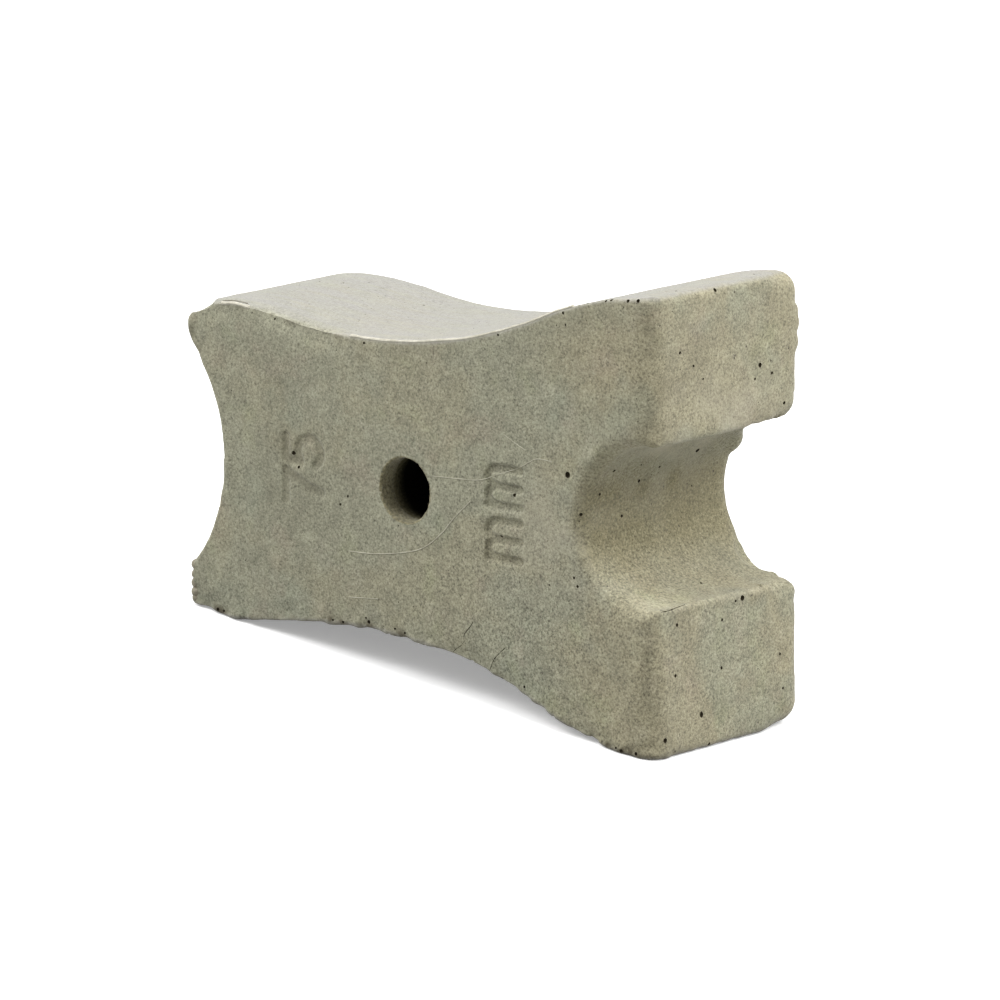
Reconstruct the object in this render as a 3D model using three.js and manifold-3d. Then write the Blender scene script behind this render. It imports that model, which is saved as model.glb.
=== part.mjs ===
// Precast concrete cover spacer for reinforcing bars, lying on one side.
// A flat block with four hollowed sides: two feet with a channel between them at one end,
// a shallow bar saddle at the other end, and a long waist along each side.
// Millimetres. The block is drawn with its soles at x = 0, the saddle towards -X, the marked
// front face at y = 0 and the back towards +Y. The last lines turn it to lie on its side.
import * as THREE from 'three';
import { mergeVertices } from 'three/addons/utils/BufferGeometryUtils.js';
import Module from 'manifold-3d';

// Whole block
const cover = 75; // soles to the bottom of the saddle, the size that the block is sold by
const thickness = 30.8; // front face to back face
const feetSpan = 60.7; // across both feet, at the soles
const headSpan = 41.3; // across the saddle end

// Bar saddle
const saddleDepth = 6.3;
const saddleSpan = 30.5;

// Channel between the feet, with a half-round end
const channelDepth = 12;
const channelSpan = 21.3;

// Waists: each is one arc let into a side that is straight on both sides of it
const footLand = 12.5; // straight stretch of a side beside a foot
const headLand = 11.4; // straight stretch of a side beside the saddle
const waistDepth = 5.4;

// Through hole for the tie wire
const tieHoleDiameter = 8.6;
const tieHoleHeight = 42.4; // above the soles

// Rounded edges left by the mould
const backEdgeRadius = 3;
const soleEdgeRadius = 3.5; // soles to front face
const channelEdgeRadius = 2; // channel to front face

// Numbers of straight steps that stand for the curves
const saddleSteps = 84; // round the whole circle that the saddle is a part of
const channelSteps = 24;
const waistSteps = 28;
const tieHoleSteps = 36;
const edgeSteps = 4;

// How far a cutting shape runs past the block
const overrun = 5;

// Worked out from the sizes above
const length = cover + saddleDepth;
const taper = (feetSpan - headSpan) / 2;
const sideAngle = Math.atan2(taper, length);
const waistSpan = Math.hypot(taper, length) - footLand - headLand;
const quarterTurn = Math.PI / 2;

const wasm = await Module();
wasm.setup();

// A closed three.js geometry as a solid that can be cut.
function toSolid(geometry) {
  const bare = geometry.clone();
  bare.deleteAttribute('normal');
  bare.deleteAttribute('uv');
  const merged = mergeVertices(bare);
  return new wasm.Manifold(
    new wasm.Mesh({
      numProp: 3,
      vertProperties: Float32Array.from(merged.attributes.position.array),
      triVerts: Uint32Array.from(merged.index.array),
    }),
  );
}

// A solid as a three.js geometry.
function toGeometry(solid) {
  const mesh = solid.getMesh();
  const geometry = new THREE.BufferGeometry();
  geometry.setAttribute('position', new THREE.BufferAttribute(mesh.vertProperties, 3));
  geometry.setIndex(new THREE.BufferAttribute(mesh.triVerts, 1));
  geometry.computeVertexNormals();
  return geometry;
}

// Radius of the arc that is `depth` deep over a chord of `span`.
function arcRadius(span, depth) {
  return (span ** 2 / 4 + depth ** 2) / (2 * depth);
}

// Points [x, z] of an arc about `centre`, both ends included.
function arc(centre, radius, from, to, steps) {
  const points = [];
  for (let i = 0; i <= steps; i += 1) {
    const angle = from + ((to - from) * i) / steps;
    points.push([centre[0] + radius * Math.cos(angle), centre[1] + radius * Math.sin(angle)]);
  }
  return points;
}

// Upper waist, drawn from the foot to the saddle end.
function waist() {
  const radius = arcRadius(waistSpan, waistDepth);
  const halfAngle = Math.asin(waistSpan / 2 / radius);
  const along = footLand + waistSpan / 2;
  const above = radius - waistDepth;
  const centre = [
    -along * Math.cos(sideAngle) - above * Math.sin(sideAngle),
    feetSpan / 2 - along * Math.sin(sideAngle) + above * Math.cos(sideAngle),
  ];
  const middle = sideAngle - quarterTurn;
  return arc(centre, radius, middle + halfAngle, middle - halfAngle, waistSteps);
}

// Outlines are drawn anticlockwise seen from the front, as walls. Each wall starts where the
// last one ends and has one radius on its front edge.

// Outline of the block before its channel and saddle are cut.
function blockWalls() {
  const foot = feetSpan / 2;
  const head = headSpan / 2;
  const upperWaist = waist();
  const lowerWaist = upperWaist.map(([x, z]) => [x, -z]).reverse();
  const sides = [[0, foot], ...upperWaist, [-length, head]];
  sides.push([-length, -head], ...lowerWaist, [0, -foot]);
  return [
    { frontRadius: soleEdgeRadius, points: [[0, -foot], [0, foot]] },
    { frontRadius: 0, points: sides },
  ];
}

// Outline of the round space over the saddle, where a bar lies.
function saddleWalls() {
  const radius = arcRadius(saddleSpan, saddleDepth);
  const points = arc([-cover - radius, 0], radius, 0, 4 * quarterTurn, saddleSteps);
  return [{ frontRadius: 0, points }];
}

// Outline of the space in the channel, out past the soles.
function channelWalls() {
  const radius = channelSpan / 2;
  const centre = [radius - channelDepth, 0];
  const round = arc(centre, radius, 3 * quarterTurn, quarterTurn, channelSteps).reverse();
  const points = [[overrun, radius], ...round, [overrun, -radius], [overrun, radius]];
  return [{ frontRadius: channelEdgeRadius, points }];
}

// Straight edges of an outline, in order, each with its outward normal.
function outlineEdges(walls) {
  return walls.flatMap(({ frontRadius, points }) =>
    points.slice(1).map((end, i) => {
      const start = points[i];
      const run = [end[0] - start[0], end[1] - start[1]];
      const size = Math.hypot(...run);
      return { start, normal: [run[1] / size, -run[0] / size], frontRadius };
    }),
  );
}

// How far a quarter-round edge of this radius stands back at `depth` below its face.
function standBack(radius, depth) {
  const left = Math.max(radius - depth, 0);
  return radius - Math.sqrt(Math.max(radius ** 2 - left ** 2, 0));
}

// Corner where two neighbouring edges meet after each has moved in by its own distance.
function movedCorner(before, after, insetBefore, insetAfter) {
  const [ax, az] = before.normal;
  const [bx, bz] = after.normal;
  const [x, z] = after.start;
  if (insetBefore === insetAfter) {
    const reach = insetAfter / (1 + ax * bx + az * bz);
    return [x - (ax + bx) * reach, z - (az + bz) * reach];
  }
  const turn = ax * bz - az * bx;
  return [
    x - (insetBefore * bz - insetAfter * az) / turn,
    z - (insetAfter * ax - insetBefore * bx) / turn,
  ];
}

// Depths of the rings: close together over the rounded edges, none between them.
function ringDepths(frontRadius) {
  const front = [];
  const back = [];
  for (let i = 0; i <= edgeSteps; i += 1) {
    const angle = (quarterTurn * i) / edgeSteps;
    front.push(frontRadius * (1 - Math.cos(angle)));
    back.push(thickness - backEdgeRadius * (1 - Math.sin(angle)));
  }
  return [...new Set([...front, ...back])];
}

// A closed solid through one ring of points at each depth. At the rounded edges the outline
// moves in where `sense` is 1, and out where it is -1, as the space in a hollow does.
function ringSolid(walls, depths, sense) {
  const edges = outlineEdges(walls);
  const rings = depths.map((y) => {
    const inset = ({ frontRadius }) =>
      sense * (standBack(frontRadius, y) + standBack(backEdgeRadius, thickness - y));
    return edges.map((edge, i) => {
      const before = edges.at(i - 1);
      return movedCorner(before, edge, inset(before), inset(edge));
    });
  });
  const positions = rings.flatMap((ring, i) => ring.flatMap(([x, z]) => [x, depths[i], z]));
  const count = edges.length;
  const last = (rings.length - 1) * count;
  const triangles = [];
  for (let front = 0; front < last; front += count) {
    const back = front + count;
    for (let i = 0; i < count; i += 1) {
      const next = (i + 1) % count;
      triangles.push(front + i, back + i, back + next, front + i, back + next, front + next);
    }
  }
  const faceOf = (ring) =>
    THREE.ShapeUtils.triangulateShape(ring.map(([x, z]) => new THREE.Vector2(x, z)), []);
  faceOf(rings[0]).forEach(([a, b, c]) => triangles.push(a, b, c));
  faceOf(rings.at(-1)).forEach(([a, b, c]) => triangles.push(last + a, last + c, last + b));

  const geometry = new THREE.BufferGeometry();
  geometry.setAttribute('position', new THREE.Float32BufferAttribute(positions, 3));
  geometry.setIndex(triangles);
  return toSolid(geometry);
}

// The space of a hollow that runs through the block from front to back.
function hollow(walls, frontRadius) {
  const depths = [-overrun, ...ringDepths(frontRadius), thickness + overrun];
  return ringSolid(walls, depths, -1);
}

// The space of the tie hole.
function tieHole() {
  const radius = tieHoleDiameter / 2;
  const drill = new THREE.CylinderGeometry(radius, radius, thickness + 2 * overrun, tieHoleSteps);
  drill.translate(-tieHoleHeight, thickness / 2, 0);
  return toSolid(drill);
}

// The whole casting.
function spacerGeometry() {
  const block = ringSolid(blockWalls(), ringDepths(soleEdgeRadius), 1)
    .subtract(hollow(saddleWalls(), 0))
    .subtract(hollow(channelWalls(), channelEdgeRadius))
    .subtract(tieHole());
  return toGeometry(block);
}

const concrete = new THREE.MeshStandardMaterial({ color: 0x97917b, roughness: 0.92, metalness: 0 });

const spacerBlock = new THREE.Mesh(spacerGeometry(), concrete);
spacerBlock.name = 'spacer_block';

// Turn the block until the lands of its lower side lie level, then stand it on the ground
// with the middle of its box over the origin.
spacerBlock.rotation.y = -sideAngle;
const box = new THREE.Box3().setFromObject(spacerBlock, true);
const middle = box.getCenter(new THREE.Vector3());

const spacer = new THREE.Group();
spacer.position.set(-middle.x, -middle.y, -box.min.z);
spacer.add(spacerBlock);

export default spacer;
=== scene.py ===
"""Looks of a small precast concrete cover spacer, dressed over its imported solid.

The block is one casting. Its skin is built here as a fine mesh with the rounded mould edges, the
broken corner, crumbled arrises, pressed figures, air holes and fine cast ridges of the real block,
and a cement finish that drifts from grey green to warm beige. All lengths are metres.

Two frames are used. The part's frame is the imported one, +Z up. The mould frame is the block's own:
u runs along the block with the soles at 0 and the saddle towards -u, v runs from the front face at
0 to the back, and w runs across the block from its lower side to its upper side.
"""

import logging
import math
from collections.abc import Callable, Sequence
from dataclasses import dataclass, field
from enum import Enum
from typing import Any

import bmesh
import bpy
import numpy as np
from mathutils import Matrix, Vector
from mathutils.bvhtree import BVHTree


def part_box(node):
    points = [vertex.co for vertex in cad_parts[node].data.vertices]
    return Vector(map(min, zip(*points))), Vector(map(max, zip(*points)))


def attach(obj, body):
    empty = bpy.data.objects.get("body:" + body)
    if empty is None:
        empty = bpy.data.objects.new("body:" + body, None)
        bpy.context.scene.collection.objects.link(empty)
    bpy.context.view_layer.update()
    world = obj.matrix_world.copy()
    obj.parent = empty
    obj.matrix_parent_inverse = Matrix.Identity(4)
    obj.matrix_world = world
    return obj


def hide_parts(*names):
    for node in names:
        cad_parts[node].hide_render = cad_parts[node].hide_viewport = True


MM = 0.001
NODE = "spacer_block"
BODY = "root"
SKIN_LIFT = 0.04 * MM  # of the skin over the ground, so that the grain stays above it
SHARP_ANGLE = math.radians(42)  # faces that meet at more keep a sharp edge
IMAGE_SIDE = 1000  # pixels across the photograph's frame
TINY = 1e-9  # keeps a division by nothing away

Point2 = tuple[float, float]
Point3 = tuple[float, float, float]
Colour = tuple[float, float, float, float]

log = logging.getLogger("spacer")

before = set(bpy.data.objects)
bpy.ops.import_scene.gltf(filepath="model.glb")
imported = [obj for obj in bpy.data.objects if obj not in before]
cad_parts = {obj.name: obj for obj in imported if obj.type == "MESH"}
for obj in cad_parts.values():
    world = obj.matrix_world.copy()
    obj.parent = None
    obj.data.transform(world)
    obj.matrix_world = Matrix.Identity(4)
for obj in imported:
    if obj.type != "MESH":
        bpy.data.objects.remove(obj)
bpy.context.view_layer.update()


def mm(*sizes: float) -> tuple[float, ...]:
    """Sizes in millimetres, as metres."""
    return tuple(size * MM for size in sizes)


def linked(name: str, data: bpy.types.ID) -> bpy.types.Object:
    """Adds an object that holds this data to the scene."""
    thing = bpy.data.objects.new(name, data)
    bpy.context.scene.collection.objects.link(thing)
    return thing


def rows(items: Any, name: str) -> np.ndarray:
    """A three-part value of each vertex or face of a mesh, one a row."""
    flat = np.empty(len(items) * 3)
    items.foreach_get(name, flat)
    return flat.reshape(-1, 3)


def srgb(red: int, green: int, blue: int) -> Colour:
    """Colour written as screen values from 0 to 255, as linear light.

    Args:
        red: Red on the screen.
        green: Green on the screen.
        blue: Blue on the screen.

    Returns:
        Linear red, green, blue and a full alpha.
    """
    shares = (value / 255 for value in (red, green, blue))
    linear = (s / 12.92 if s <= 0.04045 else ((s + 0.055) / 1.055) ** 2.4 for s in shares)
    return (*linear, 1.0)


def ease(values: np.ndarray, low: float, high: float) -> np.ndarray:
    """Share from 0 at one limit to 1 at the other, with soft ends.

    Args:
        values: Values to place between the limits.
        low: Value that gives 0.
        high: Value that gives 1.

    Returns:
        One share for each value.
    """
    share = np.clip((values - low) / (high - low), 0, 1)
    return share * share * (3 - 2 * share)


@dataclass(frozen=True)
class Span:
    """Two limits in millimetres, between which a share rises softly from 0 to 1."""

    low: float
    high: float

    def rise(self, values: np.ndarray) -> np.ndarray:
        """Share of each value, 1 past the second limit."""
        return ease(values, self.low * MM, self.high * MM)

    def fall(self, values: np.ndarray) -> np.ndarray:
        """Share of each value, 1 before the first limit."""
        return 1 - self.rise(values)


@dataclass(frozen=True)
class BlockSizes:
    """Real sizes of the casting."""

    cover: float = 75 * MM
    thickness: float = 30.8 * MM
    feet_span: float = 60.7 * MM
    head_span: float = 41.3 * MM
    saddle_depth: float = 6.3 * MM
    saddle_span: float = 30.5 * MM
    channel_depth: float = 12 * MM
    channel_span: float = 21.3 * MM
    foot_land: float = 12.5 * MM
    head_land: float = 11.4 * MM
    waist_depth: float = 5.4 * MM
    hole_diameter: float = 8.6 * MM
    hole_height: float = 42.4 * MM
    back_edge: float = 3.2 * MM
    sole_edge: float = 3.0 * MM
    channel_edge: float = 2 * MM
    side_edge: float = 0.5 * MM
    foot_corner: float = 1.2 * MM
    foot_back_corner: float = 3.1 * MM
    head_corner: float = 0.7 * MM
    head_top_corner: float = 3.0 * MM
    head_rounding: Span = Span(0.5, 3)  # behind the front face, where the upper tip gets rounder
    lip_corner: float = 0.8 * MM
    lip_back_corner: float = 2.5 * MM
    back_rounding: Point2 = (9 * MM, 2.5 * MM)  # before the back, where corners get rounder
    waist_corner: float = 2.5 * MM
    hole_edge: float = 0.15 * MM

    @property
    def length(self) -> float:
        """Soles to the tips of the saddle end."""
        return self.cover + self.saddle_depth

    @property
    def side_angle(self) -> float:
        """Angle between a side and the block's long axis."""
        return math.atan2((self.feet_span - self.head_span) / 2, self.length)

    @property
    def waist_span(self) -> float:
        """Straight distance between the ends of a waist."""
        taper = (self.feet_span - self.head_span) / 2
        return math.hypot(taper, self.length) - self.foot_land - self.head_land

    @staticmethod
    def arc_radius(span: float, depth: float) -> float:
        """Radius of the arc that is this deep over a chord of this span."""
        return (span**2 / 4 + depth**2) / (2 * depth)


class MouldFrame:
    """Carries places between the mould frame and the part's frame."""

    def __init__(self, sizes: BlockSizes, low: Vector, high: Vector) -> None:
        """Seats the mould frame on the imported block's box.

        Args:
            sizes: Sizes of the casting.
            low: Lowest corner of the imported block.
            high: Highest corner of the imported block.
        """
        angle = sizes.side_angle
        foot = sizes.feet_span / 2
        along = (math.cos(angle), 0, math.sin(angle))
        across = (-math.sin(angle), 0, math.cos(angle))
        self.axes = np.array([along, (0, 1, 0), across])
        self.origin = np.array(
            [high.x - foot * math.sin(angle), low.y, low.z + foot * math.cos(angle)]
        )

    def to_part(self, places: np.ndarray) -> np.ndarray:
        """Mould places in the part's frame."""
        return self.origin + places @ self.axes

    def to_mould(self, points: np.ndarray) -> np.ndarray:
        """Part points in the mould frame."""
        return (points - self.origin) @ self.axes.T

    def turn(self) -> Matrix:
        """Matrix that carries the mould frame into the part's frame."""
        matrix = Matrix(self.axes.T.tolist()).to_4x4()
        matrix.translation = Vector(self.origin)
        return matrix


class Rubble:
    """Smooth random heights through space, the same at every run."""

    SIDE = 32

    def __init__(self, seed: int) -> None:
        """Fills the lattice of random heights.

        Args:
            seed: Seed of the heights.
        """
        self.table = np.random.default_rng(seed).uniform(-1, 1, (self.SIDE,) * 3)

    def at(self, places: np.ndarray, size: float) -> np.ndarray:
        """Height from -1 to 1 at each place.

        Args:
            places: Points, one a row.
            size: Distance between the lattice's points.

        Returns:
            One height for each place.
        """
        scaled = places / size
        cell = np.floor(scaled)
        part = scaled - cell
        part = part * part * (3 - 2 * part)
        index = cell.astype(int)
        total = np.zeros(len(places))
        for corner in range(8):
            step = np.array([corner & 1, corner >> 1 & 1, corner >> 2 & 1])
            at = (index + step) % self.SIDE
            weight = np.prod(np.where(step, part, 1 - part), axis=1)
            total += weight * self.table[at[:, 0], at[:, 1], at[:, 2]]
        return total


def round_meet(
    first: np.ndarray, second: np.ndarray, radius: float | np.ndarray
) -> np.ndarray:
    """Space inside both of two walls, with their shared edge rounded.

    Args:
        first: Distance outside the first wall, below zero inside.
        second: Distance outside the second wall.
        radius: Radius of the rounded edge.

    Returns:
        Distance outside the shared space.
    """
    inner = np.minimum(np.maximum(first, second), -radius)
    return inner + np.hypot(np.maximum(first + radius, 0), np.maximum(second + radius, 0))


@dataclass(frozen=True)
class Chip:
    """A broken place: what lies near it and beyond all its rough planes is gone."""

    at: Point3  # a point on the break, in the mould frame
    facings: tuple[Point3, ...]  # of the planes, out of the block
    reach: float  # how far the break spreads
    rough: float  # height of the break's roughness
    grain: float  # size of its lumps


@dataclass(frozen=True)
class Lump:
    """A blob of paste that stands proud of an edge, or the space of a dent."""

    at: Point3
    radii: Point3

    def outside(self, places: np.ndarray) -> np.ndarray:
        """Distance outside the lump at each place."""
        radii = np.array(self.radii)
        away = (places - np.array(self.at)) / radii
        return (np.linalg.norm(away, axis=1) - 1) * radii.min()


class Damage(Enum):
    """What happened to this copy of the block, by where it is."""

    CORNER_OVER_SADDLE = Chip(
        mm(-77.6, 0, 19.9), ((-0.29, -0.06, 0.95), (-0.61, -0.4, 0.68)),
        reach=12 * MM, rough=0.2 * MM, grain=1.4 * MM,
    )
    LOWER_TIP = Chip(
        mm(-80.7, 0, -17.8), ((-0.9, -0.44, 0),),
        reach=3.8 * MM, rough=0.2 * MM, grain=1.2 * MM,
    )


LUMPS = (
    Lump(mm(-1.35, 29.2, 24.7), mm(1.1, 1.1, 0.9)),  # three at the back of the upper sole
    Lump(mm(-1.35, 29.2, 22.9), mm(1.22, 1.22, 1.2)),
    Lump(mm(-1.3, 29.2, 20.6), mm(1.0, 1.0, 1.1)),
    Lump(mm(-11.2, 29.2, 6.75), mm(1.7, 1.45, 1.75)),  # at the back of the channel's upper side
    Lump(mm(-80.75, 0.6, 17.4), mm(0.72, 0.6, 1.7)),  # at the upper tip
)
DENTS = (
    Lump(mm(-73.0, 1.7, 21.8), mm(3.0, 0.75, 0.5)),  # beside the broken corner
    Lump(mm(-6.0, 30.2, -6.3), mm(4.4, 4.4, 4.4)),  # at the back of the channel's lower side
)


@dataclass(frozen=True)
class Crumbling:
    """How the sharp edges crumble. The shares multiply the unevenness at each kind of edge."""

    near_edge: Span = Span(-3.2, -0.3)
    near_front: Span = Span(1, 6)
    near_back: Span = Span(18, 26)
    past_saddle: Span = Span(-77, -72)
    saddle_half: float = 16 * MM
    in_channel: Span = Span(-13, -10)
    channel_half: float = 14 * MM
    upper_share: float = 0.3
    lower_share: float = 0.4
    lower_front_share: float = 0.8  # more at the front
    saddle_share: float = 0.16
    channel_share: float = 0.25
    channel_back_share: float = 2.0  # more at the back
    worn_across: Span = Span(12, 16)
    worn_along: Span = Span(-56, -50)
    worn_share: float = 0.9
    worn_depth: float = 0.45 * MM
    broad_height: float = 0.3 * MM
    broad_size: float = 5.2 * MM
    small_height: float = 0.2 * MM
    small_size: float = 1.7 * MM
    crumb_height: float = 0.3 * MM
    crumb_size: float = 0.8 * MM
    crumb_start: float = 0.2  # noise at which a crumb begins


class BlockForm:
    """Signed distance from the casting's surface, in the mould frame."""

    LUMP_ROUGH = 0.15 * MM
    LUMP_GRAIN = 1.3 * MM
    LUMP_FILLET = 0.8  # of the lump's least radius
    SLOPE_STEP = 0.004 * MM
    LEAST_SLOPE = 0.3
    LONGEST_MOVE = 0.4 * MM

    def __init__(self, sizes: BlockSizes) -> None:
        """Works out the arcs' centres once.

        Args:
            sizes: Sizes of the casting.
        """
        self.sizes = sizes
        self.crumbling = Crumbling()
        self.coarse = Rubble(11)
        self.fine = Rubble(23)
        angle = sizes.side_angle
        self.waist_radius = sizes.arc_radius(sizes.waist_span, sizes.waist_depth)
        along = sizes.foot_land + sizes.waist_span / 2
        above = self.waist_radius - sizes.waist_depth
        self.waist_centre = (
            -along * math.cos(angle) - above * math.sin(angle),
            sizes.feet_span / 2 - along * math.sin(angle) + above * math.cos(angle),
        )
        self.saddle_radius = sizes.arc_radius(sizes.saddle_span, sizes.saddle_depth)

    def walls(self, places: np.ndarray) -> dict[str, np.ndarray]:
        """Distance outside each wall of the casting.

        Args:
            places: Points in the mould frame.

        Returns:
            One array for each named wall, below zero inside.
        """
        s = self.sizes
        u, v, w = places.T
        out = np.abs(w)
        side = -u * math.sin(s.side_angle) + (out - s.feet_span / 2) * math.cos(s.side_angle)
        centre_u, centre_w = self.waist_centre
        waist = self.waist_radius - np.hypot(u - centre_u, out - centre_w)
        channel_radius = s.channel_span / 2
        channel_run = np.minimum(u + s.channel_depth - channel_radius, 0)
        return {
            "flank": round_meet(side, waist, s.waist_corner),
            "head": -s.length - u,
            "saddle": self.saddle_radius - np.hypot(u + s.cover + self.saddle_radius, w),
            "sole": u.copy(),
            "channel": channel_radius - np.hypot(channel_run, w),
            "hole": s.hole_diameter / 2 - np.hypot(u + s.hole_height, w),
            "front": -v,
            "back": v - s.thickness,
        }

    def sound(self, places: np.ndarray) -> np.ndarray:
        """Distance outside the unbroken casting with its rounded mould edges.

        Args:
            places: Points in the mould frame.

        Returns:
            One distance for each place.
        """
        s = self.sizes
        wall = self.walls(places)
        _, v, w = places.T
        deep = ease(v, *(s.thickness - depth for depth in s.back_rounding))
        top = s.head_rounding.rise(v) * (w > 0)
        head_corner = s.head_corner + top * (s.head_top_corner - s.head_corner)
        foot_corner = s.foot_corner + deep * (s.foot_back_corner - s.foot_corner)
        lip_corner = s.lip_corner + deep * (s.lip_back_corner - s.lip_corner)
        ends = round_meet(wall["flank"], wall["head"], head_corner)
        ends = round_meet(ends, wall["saddle"], s.lip_corner)
        feet = round_meet(wall["flank"], wall["sole"], foot_corner)
        feet = round_meet(feet, wall["channel"], lip_corner)
        sides = np.maximum(ends, feet)
        body = round_meet(sides, wall["back"], s.back_edge)
        body = np.maximum(body, round_meet(ends, wall["front"], s.side_edge))
        body = np.maximum(body, round_meet(wall["sole"], wall["front"], s.sole_edge))
        body = np.maximum(body, round_meet(wall["channel"], wall["front"], s.channel_edge))
        return round_meet(body, wall["hole"], s.hole_edge)

    def arris(self, places: np.ndarray) -> tuple[np.ndarray, np.ndarray]:
        """How near each place is to a sharp edge.

        Args:
            places: Points in the mould frame.

        Returns:
            Distance outside the nearest wall, and outside the next nearest.
        """
        wall = self.walls(places)
        stack = np.stack([wall[name] for name in wall if name != "hole"])
        top = np.partition(stack, -2, axis=0)
        return top[-1], top[-2]

    def side_height(self, along: np.ndarray) -> np.ndarray:
        """How high above the block's middle line its upper side is.

        Args:
            along: Places along the block.

        Returns:
            One height for each place.
        """
        s = self.sizes
        centre_u, centre_w = self.waist_centre
        span = np.minimum(np.abs(along - centre_u), self.waist_radius)
        arc = centre_w - np.sqrt(self.waist_radius**2 - span**2)
        straight = s.feet_span / 2 + along * math.tan(s.side_angle)
        on_land = (along < -s.length + s.head_land) | (along > -s.foot_land)
        return np.where(on_land, straight, arc)

    def rim(self, places: np.ndarray) -> np.ndarray:
        """How near each place is to a rim of the tie hole, zero on the rim."""
        wall = self.walls(places)
        return np.minimum(wall["hole"], np.maximum(wall["front"], wall["back"]))

    def roughness(self, places: np.ndarray, closeness: np.ndarray) -> np.ndarray:
        """How far a crumbling arris stands back at each place.

        Args:
            places: Points in the mould frame.
            closeness: One on an arris, falling to zero away from it.

        Returns:
            Depth, below zero where the edge bulges.
        """
        u, v, w = places.T
        c = self.crumbling
        below = c.lower_share + c.lower_front_share * c.near_front.fall(v)
        side = np.where(w < 0, below, c.upper_share)
        saddle = c.past_saddle.fall(u) * (np.abs(w) < c.saddle_half)
        channel = c.in_channel.rise(u) * (np.abs(w) < c.channel_half)
        in_channel = c.channel_share + c.channel_back_share * c.near_back.rise(v)
        weight = side + (c.saddle_share - side) * saddle
        weight = weight + (in_channel - weight) * channel
        worn = self.worn(places)
        weight = weight + c.worn_share * worn
        broad = c.broad_height * self.coarse.at(places, c.broad_size)
        small = c.small_height * self.fine.at(places, c.small_size)
        peaks = self.fine.at(places, c.crumb_size) - c.crumb_start
        crumbs = c.crumb_height * np.maximum(peaks, 0)
        return closeness * (weight * (broad + small + crumbs) + c.worn_depth * worn)

    def worn(self, places: np.ndarray) -> np.ndarray:
        """Share of wear along the upper front edge, near the saddle end."""
        u, v, w = places.T
        c = self.crumbling
        return c.near_front.fall(v) * c.worn_across.rise(w) * c.worn_along.fall(u)

    def distance(self, places: np.ndarray) -> np.ndarray:
        """Distance outside the casting as it is, worn and chipped.

        Args:
            places: Points in the mould frame.

        Returns:
            One distance for each place.
        """
        body = self.sound(places)
        _, next_nearest = self.arris(places)
        closeness = self.crumbling.near_edge.rise(next_nearest)
        body = body + self.roughness(places, closeness)
        for chip in (damage.value for damage in Damage):
            rough = chip.rough * self.fine.at(places, chip.grain)
            away = places - np.array(chip.at)
            beyond = chip.reach - np.linalg.norm(away, axis=1)
            for facing in chip.facings:
                normal = np.array(facing) / np.linalg.norm(facing)
                beyond = np.minimum(beyond, away @ normal + rough)
            body = np.maximum(body, beyond)
        crumpled = self.LUMP_ROUGH * self.fine.at(places, self.LUMP_GRAIN)
        for lump in LUMPS:
            fillet = self.LUMP_FILLET * min(lump.radii)
            body = self.joined(body, lump.outside(places) + crumpled, fillet)
        for dent in DENTS:
            body = np.maximum(body, -dent.outside(places))
        return body

    @staticmethod
    def joined(body: np.ndarray, lump: np.ndarray, fillet: float) -> np.ndarray:
        """The lesser of two distances, with a fillet where they meet."""
        near = np.maximum(fillet - np.abs(body - lump), 0)
        return np.minimum(body, lump) - near**2 / (4 * fillet)

    def settle(self, places: np.ndarray, rounds: int = 4) -> np.ndarray:
        """Moves each place onto the surface by its steepest way.

        Args:
            places: Points in the mould frame, near the surface.
            rounds: Number of steps.

        Returns:
            The moved points.
        """
        step = self.SLOPE_STEP
        for _ in range(rounds):
            gap = self.distance(places)
            slope = np.empty_like(places)
            for axis in range(3):
                shift = np.zeros(3)
                shift[axis] = step
                rise = self.distance(places + shift) - self.distance(places - shift)
                slope[:, axis] = rise / (2 * step)
            size = np.maximum((slope**2).sum(1), self.LEAST_SLOPE)
            move = slope * (gap / size)[:, None]
            reach = np.maximum(np.linalg.norm(move, axis=1), TINY)
            move *= np.minimum(1, self.LONGEST_MOVE / reach)[:, None]
            places = places - move
        return places


def bow(centre: Point2, radii: Point2, start: float, end: float, steps: int = 12) -> list[Point2]:
    """Points of an elliptic arc.

    Args:
        centre: Centre of the ellipse.
        radii: Half its width and half its height.
        start: First angle in degrees.
        end: Last angle in degrees.
        steps: Number of straight steps.

    Returns:
        The points, both ends included.
    """
    angles = [math.radians(start + (end - start) * i / steps) for i in range(steps + 1)]
    return [
        (centre[0] + radii[0] * math.cos(a), centre[1] + radii[1] * math.sin(a)) for a in angles
    ]


class Glyph(Enum):
    """Strokes of each pressed sign, in a cell one wide and one tall."""

    SEVEN = [[(0, 1), (1, 1), (0.72, 0.62), (0.5, 0.3), (0.4, 0)]]
    FIVE = [[(0.92, 1), (0.16, 1), (0.1, 0.58), *bow((0.46, 0.33), (0.5, 0.33), 128, -148)]]
    M = [
        [(0, 0), (0, 1)],
        [(0, 0.55), *bow((0.26, 0.66), (0.25, 0.32), 170, 0), (0.51, 0)],
        [(0.51, 0.6), *bow((0.76, 0.66), (0.25, 0.32), 170, 0), (1.01, 0)],
    ]


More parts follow.
